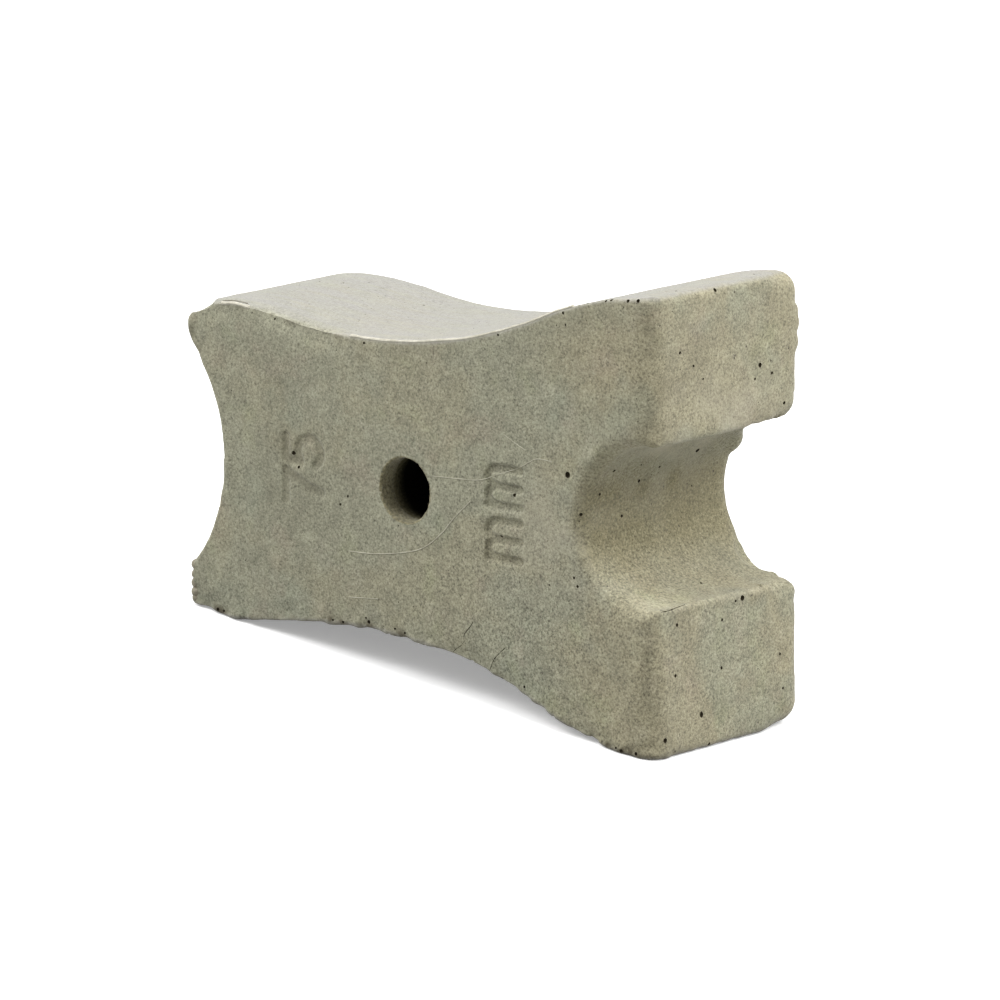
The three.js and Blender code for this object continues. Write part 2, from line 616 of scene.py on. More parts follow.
@dataclass(frozen=True)
class Marking:
    """A row of pressed signs that reads across the block, its tops towards the saddle."""

    glyphs: tuple[Glyph, ...]
    base: float  # height of the signs' feet above the soles
    start: float  # where the first sign begins, across the block
    height: float
    width: float
    gap: float
    stroke: float  # width of a stroke at its floor
    depth: float
    slope: float  # width of a stroke's sloping side

    def strokes(self) -> list[np.ndarray]:
        """Each stroke's points as (u, w), in the mould frame."""
        lines = []
        for order, glyph in enumerate(self.glyphs):
            left = self.start + order * (self.width + self.gap)
            for stroke in glyph.value:
                line = [(-self.base - y * self.height, left + x * self.width) for x, y in stroke]
                lines.append(np.array(line))
        return lines

    def reach(self, places: np.ndarray) -> np.ndarray:
        """Distance of each place from the middle of the nearest stroke.

        Args:
            places: Points in the mould frame.

        Returns:
            One distance for each place.
        """
        flat = places[:, [0, 2]]
        nearest = np.full(len(flat), 1.0)
        for stroke in self.strokes():
            for start, end in zip(stroke[:-1], stroke[1:]):
                run = end - start
                share = np.clip((flat - start) @ run / (run @ run), 0, 1)
                gap = np.linalg.norm(flat - start - share[:, None] * run, axis=1)
                nearest = np.minimum(nearest, gap)
        return nearest

    def depth_at(self, places: np.ndarray) -> np.ndarray:
        """How deep the sign is pressed at each place of the front face.

        Args:
            places: Points in the mould frame.

        Returns:
            One depth for each place.
        """
        return self.depth * ease(self.stroke / 2 + self.slope - self.reach(places), 0, self.slope)


@dataclass(frozen=True)
class Stain:
    """A broad soft stain on the skin."""

    at: Point3  # in the mould frame
    reach: float
    share: float  # of pale bloom, or of dirt where it is below zero

    def share_at(self, places: np.ndarray) -> np.ndarray:
        """Strength of the stain at each place.

        Args:
            places: Points in the mould frame.

        Returns:
            One strength for each place.
        """
        gap = np.linalg.norm(places - np.array(self.at), axis=1)
        return self.share * np.exp(-((gap / self.reach) ** 2))


@dataclass(frozen=True)
class PhotoCamera:
    """The camera that sees the block as the photograph does."""

    place: Point3 = mm(730.4, -857.43, 233.6)
    aim: Point3 = mm(-38.46, 14.32, -3.01)
    roll: float = math.radians(-0.257)
    lens: float = 324.0
    film: float = 36.0
    nearest: float = 0.05  # what it can show, in metres
    farthest: float = 20

    def build(self, mould: MouldFrame) -> bpy.types.Object:
        """Adds the camera and makes it the scene's.

        Args:
            mould: Frame that the camera's place and aim are written in.

        Returns:
            The camera's object.
        """
        data = bpy.data.cameras.new("photo_camera")
        data.sensor_fit = "HORIZONTAL"
        data.sensor_width = self.film
        data.lens = self.lens
        data.clip_start = self.nearest
        data.clip_end = self.farthest
        camera = linked("photo_camera", data)
        look = Vector(self.aim) - Vector(self.place)
        across_mould = look.to_track_quat("-Z", "Y").to_matrix().to_4x4()
        level = Matrix.Translation(Vector(self.place)) @ across_mould
        camera.matrix_world = mould.turn() @ level @ Matrix.Rotation(self.roll, 4, "Z")
        bpy.context.scene.camera = camera
        return camera

    def ray(self, camera: bpy.types.Object, pixel: Point2) -> tuple[Vector, Vector]:
        """Line of sight through a pixel of the photograph.

        Args:
            camera: The built camera.
            pixel: Place in the photograph's frame.

        Returns:
            The line's start and its direction.
        """
        half = IMAGE_SIDE / 2
        scale = self.film / self.lens / IMAGE_SIDE
        local = Vector(((pixel[0] - half) * scale, (half - pixel[1]) * scale, -1)).normalized()
        return camera.matrix_world.translation, camera.matrix_world.to_3x3() @ local


class Desk:
    """Lays out and joins the nodes of one tree."""

    def __init__(self, tree: bpy.types.NodeTree) -> None:
        """Keeps the tree.

        Args:
            tree: Tree that gets the nodes.
        """
        self.tree = tree
        self.count = 0

    def add(
        self, kind: str, inputs: dict[str, Any] | None = None, **settings: Any
    ) -> bpy.types.Node:
        """Adds a node with its settings and inputs.

        Args:
            kind: Blender's name of the node's type.
            inputs: Value or joined socket for each input, by its identifier or name.
            **settings: Properties of the node.

        Returns:
            The node.
        """
        node = self.tree.nodes.new(kind)
        node.location = (220 * (self.count % 8), -260 * (self.count // 8))
        self.count += 1
        for name, value in settings.items():
            setattr(node, name, value)
        for name, value in (inputs or {}).items():
            self.feed(self.socket(node, name), value)
        return node

    @staticmethod
    def socket(node: bpy.types.Node, name: str) -> bpy.types.NodeSocket:
        """Input of a node by its identifier or, failing that, its name."""
        for socket in node.inputs:
            if socket.identifier == name:
                return socket
        return node.inputs[name]

    @staticmethod
    def out(node: bpy.types.Node, name: str) -> bpy.types.NodeSocket:
        """Output of a node by its identifier or, failing that, its name."""
        for socket in node.outputs:
            if socket.identifier == name:
                return socket
        return node.outputs[name]

    def feed(self, socket: bpy.types.NodeSocket, value: Any) -> None:
        """Joins a socket to the input, or sets the input's own value."""
        if isinstance(value, bpy.types.NodeSocket):
            self.tree.links.new(value, socket)
        else:
            socket.default_value = value

    def sum(self, operation: str, *terms: Any) -> bpy.types.NodeSocket:
        """One step of arithmetic.

        Args:
            operation: Name of the step.
            *terms: Values or sockets that go in.

        Returns:
            The result's socket.
        """
        node = self.add("ShaderNodeMath", operation=operation)
        for socket, term in zip(node.inputs, terms):
            self.feed(socket, term)
        return node.outputs[0]

    def scaled(self, vector: Any, factor: Any) -> bpy.types.NodeSocket:
        """Vector or colour multiplied by a factor."""
        node = self.add("ShaderNodeVectorMath", {"Vector": vector}, operation="SCALE")
        self.feed(node.inputs["Scale"], factor)
        return node.outputs["Vector"]

    def noise(
        self, place: Any, seed: Any, size: Any, detail: float = 2.0, roughness: float = 0.5
    ) -> bpy.types.NodeSocket:
        """Smooth noise from 0 to 1.

        Args:
            place: Where it is read.
            seed: Seed, which picks another pattern.
            size: Size of its lumps.
            detail: How many finer layers it has.
            roughness: How strong they are.

        Returns:
            The noise's socket.
        """
        inputs = {
            "Vector": place,
            "W": seed,
            "Scale": self.sum("DIVIDE", 1.0, size),
            "Detail": detail,
            "Roughness": roughness,
        }
        return self.add("ShaderNodeTexNoise", inputs, noise_dimensions="4D").outputs["Fac"]

    def ramp(self, value: Any, low: Any, high: Any) -> bpy.types.NodeSocket:
        """Share from 0 to 1, eased, of a value between two limits."""
        node = self.add(
            "ShaderNodeMapRange",
            {"Value": value, "From Min": low, "From Max": high},
            interpolation_type="SMOOTHSTEP",
        )
        return node.outputs["Result"]

    def blend(self, share: Any, first: Any, second: Any) -> bpy.types.NodeSocket:
        """Mix of two colours.

        Args:
            share: Share of the second colour.
            first: First colour or socket.
            second: Second colour or socket.

        Returns:
            The mixed colour's socket.
        """
        node = self.add("ShaderNodeMix", data_type="RGBA")
        self.feed(self.socket(node, "Factor_Float"), share)
        self.feed(self.socket(node, "A_Color"), first)
        self.feed(self.socket(node, "B_Color"), second)
        return self.out(node, "Result_Color")


class SocketKind(Enum):
    """Kinds of named inputs and outputs."""

    NUMBER = "NodeSocketFloat"
    COUNT = "NodeSocketInt"
    PLACE = "NodeSocketVector"
    SHAPE = "NodeSocketGeometry"
    MATERIAL = "NodeSocketMaterial"
    OBJECT = "NodeSocketObject"


def declare(
    tree: bpy.types.NodeTree,
    inputs: dict[str, SocketKind],
    outputs: dict[str, SocketKind],
) -> None:
    """Gives a tree its named inputs and outputs.

    Args:
        inputs: Kind of each input.
        outputs: Kind of each output.
    """
    for name, kind in inputs.items():
        tree.interface.new_socket(name, in_out="INPUT", socket_type=kind.value)
    for name, kind in outputs.items():
        tree.interface.new_socket(name, in_out="OUTPUT", socket_type=kind.value)


class SurfaceGroups:
    """Shader node groups that the finishes share."""

    PALE_SAND = (0.52, 0.72)  # limits of the noise
    DARK_SAND = (0.48, 0.28)
    PIT_FLOOR = 0.55  # of a pit's radius

    def __init__(self) -> None:
        """Builds every group once."""
        self.patches = self._patches()
        self.grain = self._grain()
        self.pits = self._pits()

    @staticmethod
    def _new(name: str, inputs: dict[str, SocketKind], outputs: dict[str, SocketKind]) -> tuple:
        """An empty group with its desk, its input node and its output node."""
        tree = bpy.data.node_groups.new(name, "ShaderNodeTree")
        declare(tree, inputs, outputs)
        desk = Desk(tree)
        return tree, desk, desk.add("NodeGroupInput"), desk.add("NodeGroupOutput")

    def _patches(self) -> bpy.types.NodeTree:
        """Soft blotches of one size."""
        number, place = SocketKind.NUMBER, SocketKind.PLACE
        tree, desk, entry, leave = self._new(
            "soft_patches",
            {"Vector": place, "Size": number, "Seed": number, "Low": number, "High": number},
            {"Share": number},
        )
        given = entry.outputs
        noise = desk.noise(given["Vector"], given["Seed"], given["Size"], 3.0, 0.55)
        desk.feed(leave.inputs["Share"], desk.ramp(noise, given["Low"], given["High"]))
        return tree

    def _grain(self) -> bpy.types.NodeTree:
        """Fine sand: pale grains, dark grains and their height."""
        number, place = SocketKind.NUMBER, SocketKind.PLACE
        tree, desk, entry, leave = self._new(
            "sand_grain",
            {"Vector": place, "Size": number, "Seed": number},
            {"Pale": number, "Dark": number, "Height": number},
        )
        given = entry.outputs
        value = desk.noise(given["Vector"], given["Seed"], given["Size"], 4.0, 0.7)
        desk.feed(leave.inputs["Pale"], desk.ramp(value, *self.PALE_SAND))
        desk.feed(leave.inputs["Dark"], desk.ramp(value, *self.DARK_SAND))
        desk.feed(leave.inputs["Height"], value)
        return tree

    def _pits(self) -> bpy.types.NodeTree:
        """Pin holes in some cells of a random lattice."""
        number, place = SocketKind.NUMBER, SocketKind.PLACE
        tree, desk, entry, leave = self._new(
            "pin_holes",
            {"Vector": place, "Size": number, "Share": number, "Radius": number},
            {"Pit": number},
        )
        cells = desk.add(
            "ShaderNodeTexVoronoi",
            {
                "Vector": entry.outputs["Vector"],
                "Scale": desk.sum("DIVIDE", 1.0, entry.outputs["Size"]),
            },
            feature="F1",
        )
        split = desk.add("ShaderNodeSeparateColor", {"Color": cells.outputs["Color"]})
        radius = desk.sum("MULTIPLY", entry.outputs["Radius"], split.outputs["Green"])
        inner = desk.sum("MULTIPLY", radius, self.PIT_FLOOR)
        hollow = desk.ramp(cells.outputs["Distance"], radius, inner)
        chosen = desk.sum("LESS_THAN", split.outputs["Red"], entry.outputs["Share"])
        desk.feed(leave.inputs["Pit"], desk.sum("MULTIPLY", hollow, chosen))
        return tree


class FinishDesk(Desk):
    """Desk of a finish, with the shared groups at hand."""

    def __init__(self, name: str, groups: SurfaceGroups) -> None:
        """Makes an empty material.

        Args:
            name: Name of the material.
            groups: Shared shader groups.
        """
        self.material = bpy.data.materials.new(name)
        self.material.use_nodes = True
        self.material.node_tree.nodes.clear()
        super().__init__(self.material.node_tree)
        self.groups = groups
        self.here = self.add("ShaderNodeTexCoord").outputs["Object"]

    def stretched(self, shares: Point3) -> bpy.types.NodeSocket:
        """The object's own coordinates, each shrunk to a share to draw patterns out."""
        inputs = {"Vector": self.here, "Vector_001": shares}
        return self.add("ShaderNodeVectorMath", inputs, operation="MULTIPLY").outputs["Vector"]

    def placed(self, group: bpy.types.NodeTree, values: dict[str, Any]) -> bpy.types.Node:
        """A group placed on the object's own coordinates.

        Args:
            group: Group to place.
            values: Value or socket of each of its other inputs.

        Returns:
            The group's node.
        """
        node = self.add("ShaderNodeGroup", node_tree=group)
        for name, value in {"Vector": self.here, **values}.items():
            self.feed(node.inputs[name], value)
        return node

    def patches(
        self, size: float, seed: float, low: float, high: float, place: Any = None
    ) -> bpy.types.NodeSocket:
        """Share of soft blotches of this size."""
        values = {"Size": size, "Seed": seed, "Low": low, "High": high}
        if place is not None:
            values["Vector"] = place
        return self.placed(self.groups.patches, values).outputs["Share"]

    def sand(self, size: float, seed: float) -> bpy.types.bpy_prop_collection:
        """Outputs of sand with grains of this size."""
        return self.placed(self.groups.grain, {"Size": size, "Seed": seed}).outputs

    def pits(self, size: float, share: Any, radius: float) -> bpy.types.NodeSocket:
        """Mask of pin holes in a share of the cells of this size."""
        values = {"Size": size, "Share": share, "Radius": radius}
        return self.placed(self.groups.pits, values).outputs["Pit"]

    def tinted(self, colour: Any, amount: float, mask: Any, other: Any) -> bpy.types.NodeSocket:
        """Colour mixed towards another where a mask says so."""
        return self.blend(self.sum("MULTIPLY", mask, amount), colour, other)

    def mask(self, name: str) -> bpy.types.NodeSocket:
        """Share that the mesh carries under this name."""
        return self.add("ShaderNodeAttribute", attribute_name=name).outputs["Fac"]

    def finish(
        self,
        colour: Any,
        roughness: Any,
        height: Any,
        relief: float,
        gloss: float,
        dust: float = 0.0,
    ) -> bpy.types.Material:
        """Ends the material in one shader.

        Args:
            colour: Colour socket.
            roughness: Roughness value or socket.
            height: Height socket of the relief.
            relief: Full height of the relief.
            gloss: Specular level.
            dust: Amount of pale dust that shows at a low angle.

        Returns:
            The material.
        """
        bump = self.add("ShaderNodeBump", {"Height": height, "Distance": relief})
        shader = self.add(
            "ShaderNodeBsdfPrincipled",
            {
                "Base Color": colour,
                "Roughness": roughness,
                "Specular IOR Level": gloss,
                "Sheen Weight": dust,
                "Sheen Roughness": 0.45,
                "Normal": bump.outputs["Normal"],
            },
        )
        self.add("ShaderNodeOutputMaterial", {"Surface": shader.outputs["BSDF"]})
        return self.material


# Pale paste. It is also the colour of the painted light on the channel's roof.
PASTE_GREY_AND_PAINTED_LIGHT = srgb(182, 177, 158)
# Dark grime. It is also the colour of painted shade in the pin holes, on the soles near the front
# face and at the upper foot's front corner.
GRIME_AND_PAINTED_SHADE = srgb(78, 71, 52)


@dataclass(frozen=True)
class Blotch:
    """Soft blotches of a tint in the cement."""

    colour: Colour
    amount: float
    size: float
    seed: float
    low: float  # noise at which a blotch begins
    high: float  # noise at which it is full


@dataclass(frozen=True)
class ConcreteFinish:
    """Cast cement skin with sand in it."""

    name: str = "concrete"
    grey_green: Colour = srgb(143, 142, 122)
    beige: Colour = srgb(151, 145, 120)
    skin: Colour = srgb(144, 142, 137)
    skin_share: Point2 = (0.45, 0.5)  # swing and least share, along the drawn streaks
    # Browner tint inside the channel and the tie hole, partly painted shade: darker than the block.
    channel_tint_and_shade: Colour = srgb(124, 117, 87)
    # Painted shade deep in the tie hole: its near black colour, and its share below.
    painted_bore_shade: Colour = srgb(8, 7, 5)
    painted_bore_shade_share: float = 0.985
    # share of the channel's browner tint and painted shade
    channel_tint_and_shade_share: float = 0.8
    blotches: tuple[Blotch, ...] = (
        Blotch(srgb(151, 144, 118), 0.4, 15 * MM, 41.0, 0.48, 0.62),  # warm
        Blotch(srgb(139, 144, 126), 0.4, 12 * MM, 47.0, 0.52, 0.66),  # cool
        Blotch(srgb(158, 143, 126), 0.25, 6 * MM, 5.0, 0.54, 0.72),  # rose
        Blotch(srgb(143, 147, 112), 0.4, 8 * MM, 9.0, 0.55, 0.75),  # moss
        Blotch(PASTE_GREY_AND_PAINTED_LIGHT, 0.22, 3.4 * MM, 13.0, 0.5, 0.78),
    )
    drift: Span = Span(-12, 9)  # from the soles, over which grey turns to beige
    drift_sway: float = 16 * MM
    sand_size: float = 0.3 * MM
    sand_swing: float = 3.0
    sand_on_flank: float = -0.55  # less sand shows there
    grit: Point2 = (0.45, 0.8)  # more sand where gritty, and the least share of it
    dark_sand: float = 0.5
    pale_sand: float = 0.4
    cloud_swing: float = 0.24
    wear_share: float = 0.25
    # Share of dirt, with painted shade on the soles near the front face and at the upper foot's
    # front corner.
    dirt_and_painted_shade_share: float = 0.85
    # Painted shade in the pin holes: how far they are darkened.
    pit_shade_share: float = 0.85
    pit_depth: float = -1.5  # against the sand's height
    speck_share: float = 0.6
    relief: float = 0.12 * MM
    roughness: Point2 = (0.1, 0.82)  # more on pale grains, and the least
    gloss: float = 0.35
    dust_level: float = 0.2

    def build(self, groups: SurfaceGroups, mould: MouldFrame) -> bpy.types.Material:
        """Makes the material.

        Args:
            groups: Shared shader groups.
            mould: Mould frame, which the drift from grey to beige follows.

        Returns:
            The material.
        """
        desk = FinishDesk(self.name, groups)
        along = desk.add(
            "ShaderNodeVectorMath",
            {"Vector": desk.here, "Vector_001": tuple(mould.axes[0])},
            operation="DOT_PRODUCT",
        ).outputs["Value"]
        sway = desk.sum("MULTIPLY", desk.patches(13 * MM, 2.0, 0.3, 0.7), self.drift_sway)
        feet = float(mould.origin @ mould.axes[0])
        limits = (feet + limit * MM for limit in (self.drift.low, self.drift.high))
        drift = desk.ramp(desk.sum("ADD", along, sway), *limits)
        colour = desk.blend(drift, self.grey_green, self.beige)
        for b in self.blotches:
            blotch = desk.patches(b.size, b.seed, b.low, b.high)
            colour = desk.tinted(colour, b.amount, blotch, b.colour)
        cloud = desk.patches(2.2 * MM, 17.0, 0.25, 0.75)
        lift = desk.sum("MULTIPLY_ADD", cloud, self.cloud_swing, 1 - self.cloud_swing / 2)
        colour = desk.scaled(colour, lift)

        flank = desk.mask("flank")
        streaks = desk.patches(1.3 * MM, 25.0, 0.3, 0.7, desk.stretched((0.09, 1.0, 1.0)))
        pale = desk.sum("MULTIPLY_ADD", streaks, *self.skin_share)
        colour = desk.blend(desk.sum("MULTIPLY", flank, pale), colour, self.skin)
        # browner tint with painted shade inside the channel and the tie hole
        colour = desk.tinted(colour, self.channel_tint_and_shade_share, desk.mask("channel"), self.channel_tint_and_shade)

        sand = desk.sand(self.sand_size, 1.0)
        smooth = desk.sum("MULTIPLY_ADD", flank, self.sand_on_flank, 1.0)
        grit = desk.sum("MULTIPLY_ADD", desk.mask("gritty"), *self.grit)
        swing = desk.sum("MULTIPLY", desk.sum("MULTIPLY", smooth, self.sand_swing), grit)
        centred = desk.sum("SUBTRACT", sand["Height"], 0.5)
        colour = desk.scaled(colour, desk.sum("MULTIPLY_ADD", centred, swing, 1.0))
        pits = desk.pits(1.2 * MM, 0.35, 0.17)
        swarm = desk.sum(
            "MULTIPLY_ADD", desk.patches(5 * MM, 31.0, 0.5, 0.66), 0.7, desk.mask("crumbly")
        )
        layers = (
            (self.dark_sand, desk.sum("MULTIPLY", sand["Dark"], smooth), GRIME_AND_PAINTED_SHADE),
            (self.pale_sand, desk.sum("MULTIPLY", sand["Pale"], smooth), PASTE_GREY_AND_PAINTED_LIGHT),
            (self.wear_share, desk.mask("wear"), PASTE_GREY_AND_PAINTED_LIGHT),
            # pale patches, with painted light on the channel's roof
            (1.0, desk.mask("pale_and_painted_light"), PASTE_GREY_AND_PAINTED_LIGHT),
            # painted shade in the pin holes
            (self.pit_shade_share, pits, GRIME_AND_PAINTED_SHADE),
            (self.speck_share, desk.pits(0.8 * MM, swarm, 0.26), GRIME_AND_PAINTED_SHADE),
            # dirt, with painted shade on the soles near the front face and at the upper foot's front
            # corner
            (self.dirt_and_painted_shade_share, desk.mask("dirt_and_painted_shade"), GRIME_AND_PAINTED_SHADE),
            # painted shade: near black deep in the tie hole
            (self.painted_bore_shade_share, desk.mask("bore"), self.painted_bore_shade),
        )
        for amount, mask, tint in layers:
            colour = desk.tinted(colour, amount, mask, tint)
        height = desk.sum("MULTIPLY_ADD", pits, self.pit_depth, sand["Height"])
        rough = desk.sum("MULTIPLY_ADD", sand["Pale"], *self.roughness)
        return desk.finish(colour, rough, height, self.relief, self.gloss, self.dust_level)


@dataclass(frozen=True)
class PaintedHoleShadeFinish:
    """Dark, rough inside of an air hole or crack, painted dark for the shade in it."""

    floor: Colour = srgb(40, 36, 27)
    wall: Colour = srgb(66, 60, 46)
    roughness: float = 0.95
    relief: float = 0.1 * MM
    gloss: float = 0.1

    def build(self, groups: SurfaceGroups) -> bpy.types.Material:
        """Makes the material from the shared groups."""
        desk = FinishDesk("concrete_hole_shade", groups)
        height = desk.sand(0.3 * MM, 6.0)["Height"]
        colour = desk.blend(height, self.floor, self.wall)
        return desk.finish(colour, self.roughness, height, self.relief, self.gloss)


@dataclass(frozen=True)
class PasteFinish:
    """Paler cement paste that ran into the mould's joints and scratches; one darker kind paints
    shade.
    """

    name: str
    thin: Colour
    thick: Colour
    roughness: float = 0.88
    relief: float = 0.08 * MM
    gloss: float = 0.3

    def build(self, groups: SurfaceGroups) -> bpy.types.Material:
        """Makes the material from the shared groups."""
        desk = FinishDesk(self.name, groups)
        height = desk.sand(0.4 * MM, 8.0)["Height"]
        share = desk.patches(1.6 * MM, 21.0, 0.35, 0.65)
        colour = desk.blend(share, self.thin, self.thick)
        colour = desk.scaled(colour, desk.sum("MULTIPLY_ADD", height, 0.5, 0.75))
        return desk.finish(colour, self.roughness, height, self.relief, self.gloss)


class Paste(Enum):
    """Pastes by where they ran, and a dark ridge that paints shade."""

    SCRATCH = PasteFinish("concrete_paste", srgb(162, 159, 141), srgb(186, 183, 165))
    JOINT = PasteFinish("concrete_flash", srgb(184, 180, 164), srgb(206, 202, 188))
    # painted shade: a dark ridge that stands for the shaded step behind the upper tip's joint flash
    CREASE = PasteFinish("concrete_painted_shade", srgb(112, 109, 97), srgb(138, 134, 121))
    BEAD = PasteFinish("concrete_bead", srgb(138, 132, 116), srgb(158, 152, 135))


class GrowthTree:
    """A Geometry Nodes tree with named inputs, frozen into a plain mesh."""

    def __init__(self, name: str, inputs: dict[str, SocketKind]) -> None:
        """Makes the tree with its geometry sockets and named inputs.

        Args:
            name: Name of the tree.
            inputs: Kind of each named input.
        """
        self.tree = bpy.data.node_groups.new(name, "GeometryNodeTree")
        shape = {"Geometry": SocketKind.SHAPE}
        declare(self.tree, {**shape, **inputs}, shape)
        self.desk = Desk(self.tree)
        self.entry = self.desk.add("NodeGroupInput").outputs

    def close(self, shape: bpy.types.NodeSocket, material: Any, selection: Any = True) -> None:
        """Ends the tree in plain, dressed geometry.

        Args:
            shape: The finished shape.
            material: Material socket.
            selection: Which faces take the material.
        """
        plain = self.desk.add("GeometryNodeRealizeInstances", {"Geometry": shape})
        dressed = self.desk.add(
            "GeometryNodeSetMaterial",
            {
                "Geometry": plain.outputs["Geometry"],
                "Material": material,
                "Selection": selection,
            },
        )
        self.desk.add("NodeGroupOutput", {"Geometry": dressed.outputs["Geometry"]})

    def freeze(self, mesh: bpy.types.Mesh, values: dict[str, Any]) -> bpy.types.Mesh:
        """Runs the tree on a mesh.

        Args:
            mesh: Mesh that goes in.
            values: Value of each named input.

        Returns:
            The result as a plain mesh.
        """
        carrier = linked("carrier", mesh)
        modifier = carrier.modifiers.new(self.tree.name, "NODES")
        modifier.node_group = self.tree
        for item in self.tree.interface.items_tree:
            if item.in_out == "INPUT" and item.name in values:
                modifier[item.identifier] = values[item.name]
        graph = bpy.context.evaluated_depsgraph_get()
        frozen = bpy.data.meshes.new_from_object(
            carrier.evaluated_get(graph), preserve_all_data_layers=True, depsgraph=graph
        )
        bpy.data.objects.remove(carrier)
        return frozen


def swollen(desk: Desk, shape: Any, size: Any, height: Any, seed: Any) -> bpy.types.NodeSocket:
    """Shape whose surface rises and falls with noise.

    Args:
        desk: Desk of the tree.
        shape: The shape's socket.
        size: Size of the lumps.
        height: Distance from the mean to the top of a lump.
        seed: Seed of the noise.

    Returns:
        The moved shape's socket.
    """
    place = desk.add("GeometryNodeInputPosition").outputs["Position"]
    normal = desk.add("GeometryNodeInputNormal").outputs["Normal"]
    swing = desk.sum("MULTIPLY_ADD", desk.noise(place, seed, size), 2.0, -1.0)
    push = desk.scaled(normal, desk.sum("MULTIPLY", swing, height))
    moved = desk.add("GeometryNodeSetPosition", {"Geometry": shape, "Offset": push})
    return moved.outputs["Geometry"]


def balls_on(desk: Desk, points: Any, fineness: int, radii: Any) -> bpy.types.NodeSocket:
    """A ball on each point.

    Args:
        desk: Desk of the tree.
        points: Socket of the points.
        fineness: How often the ball's faces are split.
        radii: Socket of each ball's three radii.

    Returns:
        The balls' socket.
    """
    ball = desk.add("GeometryNodeMeshIcoSphere", {"Radius": 1.0, "Subdivisions": fineness})
    inputs = {"Points": points, "Instance": ball.outputs["Mesh"], "Scale": radii}
    return desk.add("GeometryNodeInstanceOnPoints", inputs).outputs["Instances"]


def carried(desk: Desk, name: str, kind: str) -> bpy.types.NodeSocket:
    """Value of this kind that a shape carries under this name."""
    node = desk.add("GeometryNodeInputNamedAttribute", {"Name": name}, data_type=kind)
    return node.outputs["Attribute"]


def balls_as_noted(desk: Desk, mesh: Any, fineness: int) -> bpy.types.NodeSocket:
    """A ball on each vertex of a mesh, with the radii that the mesh carries."""
    points = desk.add("GeometryNodeMeshToPoints", {"Mesh": mesh}).outputs["Points"]
    return balls_on(desk, points, fineness, carried(desk, "radii", "FLOAT_VECTOR"))


def cast_skin_tree() -> GrowthTree:
    """Tree that gives a mesh the slight swells and grain of a cast skin."""
    number = SocketKind.NUMBER
    growth = GrowthTree(
        "cast_skin",
        {
            "Swell size": number,
            "Swell height": number,
            "Grain size": number,
            "Grain height": number,
            "Seed": number,
            "Material": SocketKind.MATERIAL,
        },
    )
    entry = growth.entry
    shape = entry["Geometry"]
    for kind in ("Swell", "Grain"):
        size, height = entry[f"{kind} size"], entry[f"{kind} height"]
        shape = swollen(growth.desk, shape, size, height, entry["Seed"])
    growth.close(shape, entry["Material"])
    return growth


def air_hole_tree() -> GrowthTree:
    """Tree that cuts air holes: scattered ones, and the ones that were seen."""
    number, count = SocketKind.NUMBER, SocketKind.COUNT
    growth = GrowthTree(
        "air_holes",
        {
            "Density": number,
            "Least radius": number,
            "Most radius": number,
            "Rarity": number,
            "Seed": count,
            "Seen holes": SocketKind.OBJECT,
            "Seen cracks": SocketKind.OBJECT,
            "Hole material": SocketKind.MATERIAL,
            "Material": SocketKind.MATERIAL,
        },
    )
    desk, entry = growth.desk, growth.entry
    scatter = desk.add(
        "GeometryNodeDistributePointsOnFaces",
        {"Mesh": entry["Geometry"], "Density": entry["Density"], "Seed": entry["Seed"]},
    )
    chance = desk.add("FunctionNodeRandomValue", {"Seed": entry["Seed"]}, data_type="FLOAT")
    rare = desk.sum("POWER", desk.out(chance, "Value_001"), entry["Rarity"])
    span = desk.sum("SUBTRACT", entry["Most radius"], entry["Least radius"])
    radius = desk.sum("MULTIPLY_ADD", rare, span, entry["Least radius"])
    squash = desk.add(
        "FunctionNodeRandomValue",
        {"Min": (0.6, 0.6, 0.6), "Max": (1.25, 1.25, 1.25), "Seed": 5},
        data_type="FLOAT_VECTOR",
    )
    radii = desk.scaled(squash.outputs["Value"], radius)
    fine = balls_on(desk, scatter.outputs["Points"], 2, radii)
    seen = desk.add("GeometryNodeObjectInfo", {"Object": entry["Seen holes"]})
    large = balls_as_noted(desk, seen.outputs["Geometry"], 2)
    cracks = desk.add("GeometryNodeObjectInfo", {"Object": entry["Seen cracks"]})
    tubes = tube_along(desk, cracks.outputs["Geometry"], 0.3 * MM, 0.5, 12.0)
    both = desk.add("GeometryNodeJoinGeometry")
    for socket in (fine, large, tubes):
        desk.tree.links.new(socket, both.inputs["Geometry"])
    solid = desk.add("GeometryNodeRealizeInstances", {"Geometry": both.outputs["Geometry"]})
    lumpy = swollen(desk, solid.outputs["Geometry"], 0.3 * MM, 0.13 * MM, 4.0)
    marked = desk.add(
        "GeometryNodeStoreNamedAttribute",
        {"Geometry": lumpy, "Name": "in_hole", "Value": True},
        data_type="BOOLEAN",
        domain="FACE",
    )
    # the holes' and cracks' insides take the finish that paints their shade
    dark = desk.add(
        "GeometryNodeSetMaterial",
        {"Geometry": marked.outputs["Geometry"], "Material": entry["Hole material"]},
    )
    cut = desk.add(
        "GeometryNodeMeshBoolean",
        {"Mesh 1": entry["Geometry"], "Mesh 2": dark.outputs["Geometry"]},
        operation="DIFFERENCE",
        solver="MANIFOLD",
    )
    inside = carried(desk, "in_hole", "BOOLEAN")
    outside = desk.add("FunctionNodeBooleanMath", {"Boolean": inside}, operation="NOT")
    growth.close(cut.outputs["Mesh"], entry["Material"], outside.outputs["Boolean"])
    return growth


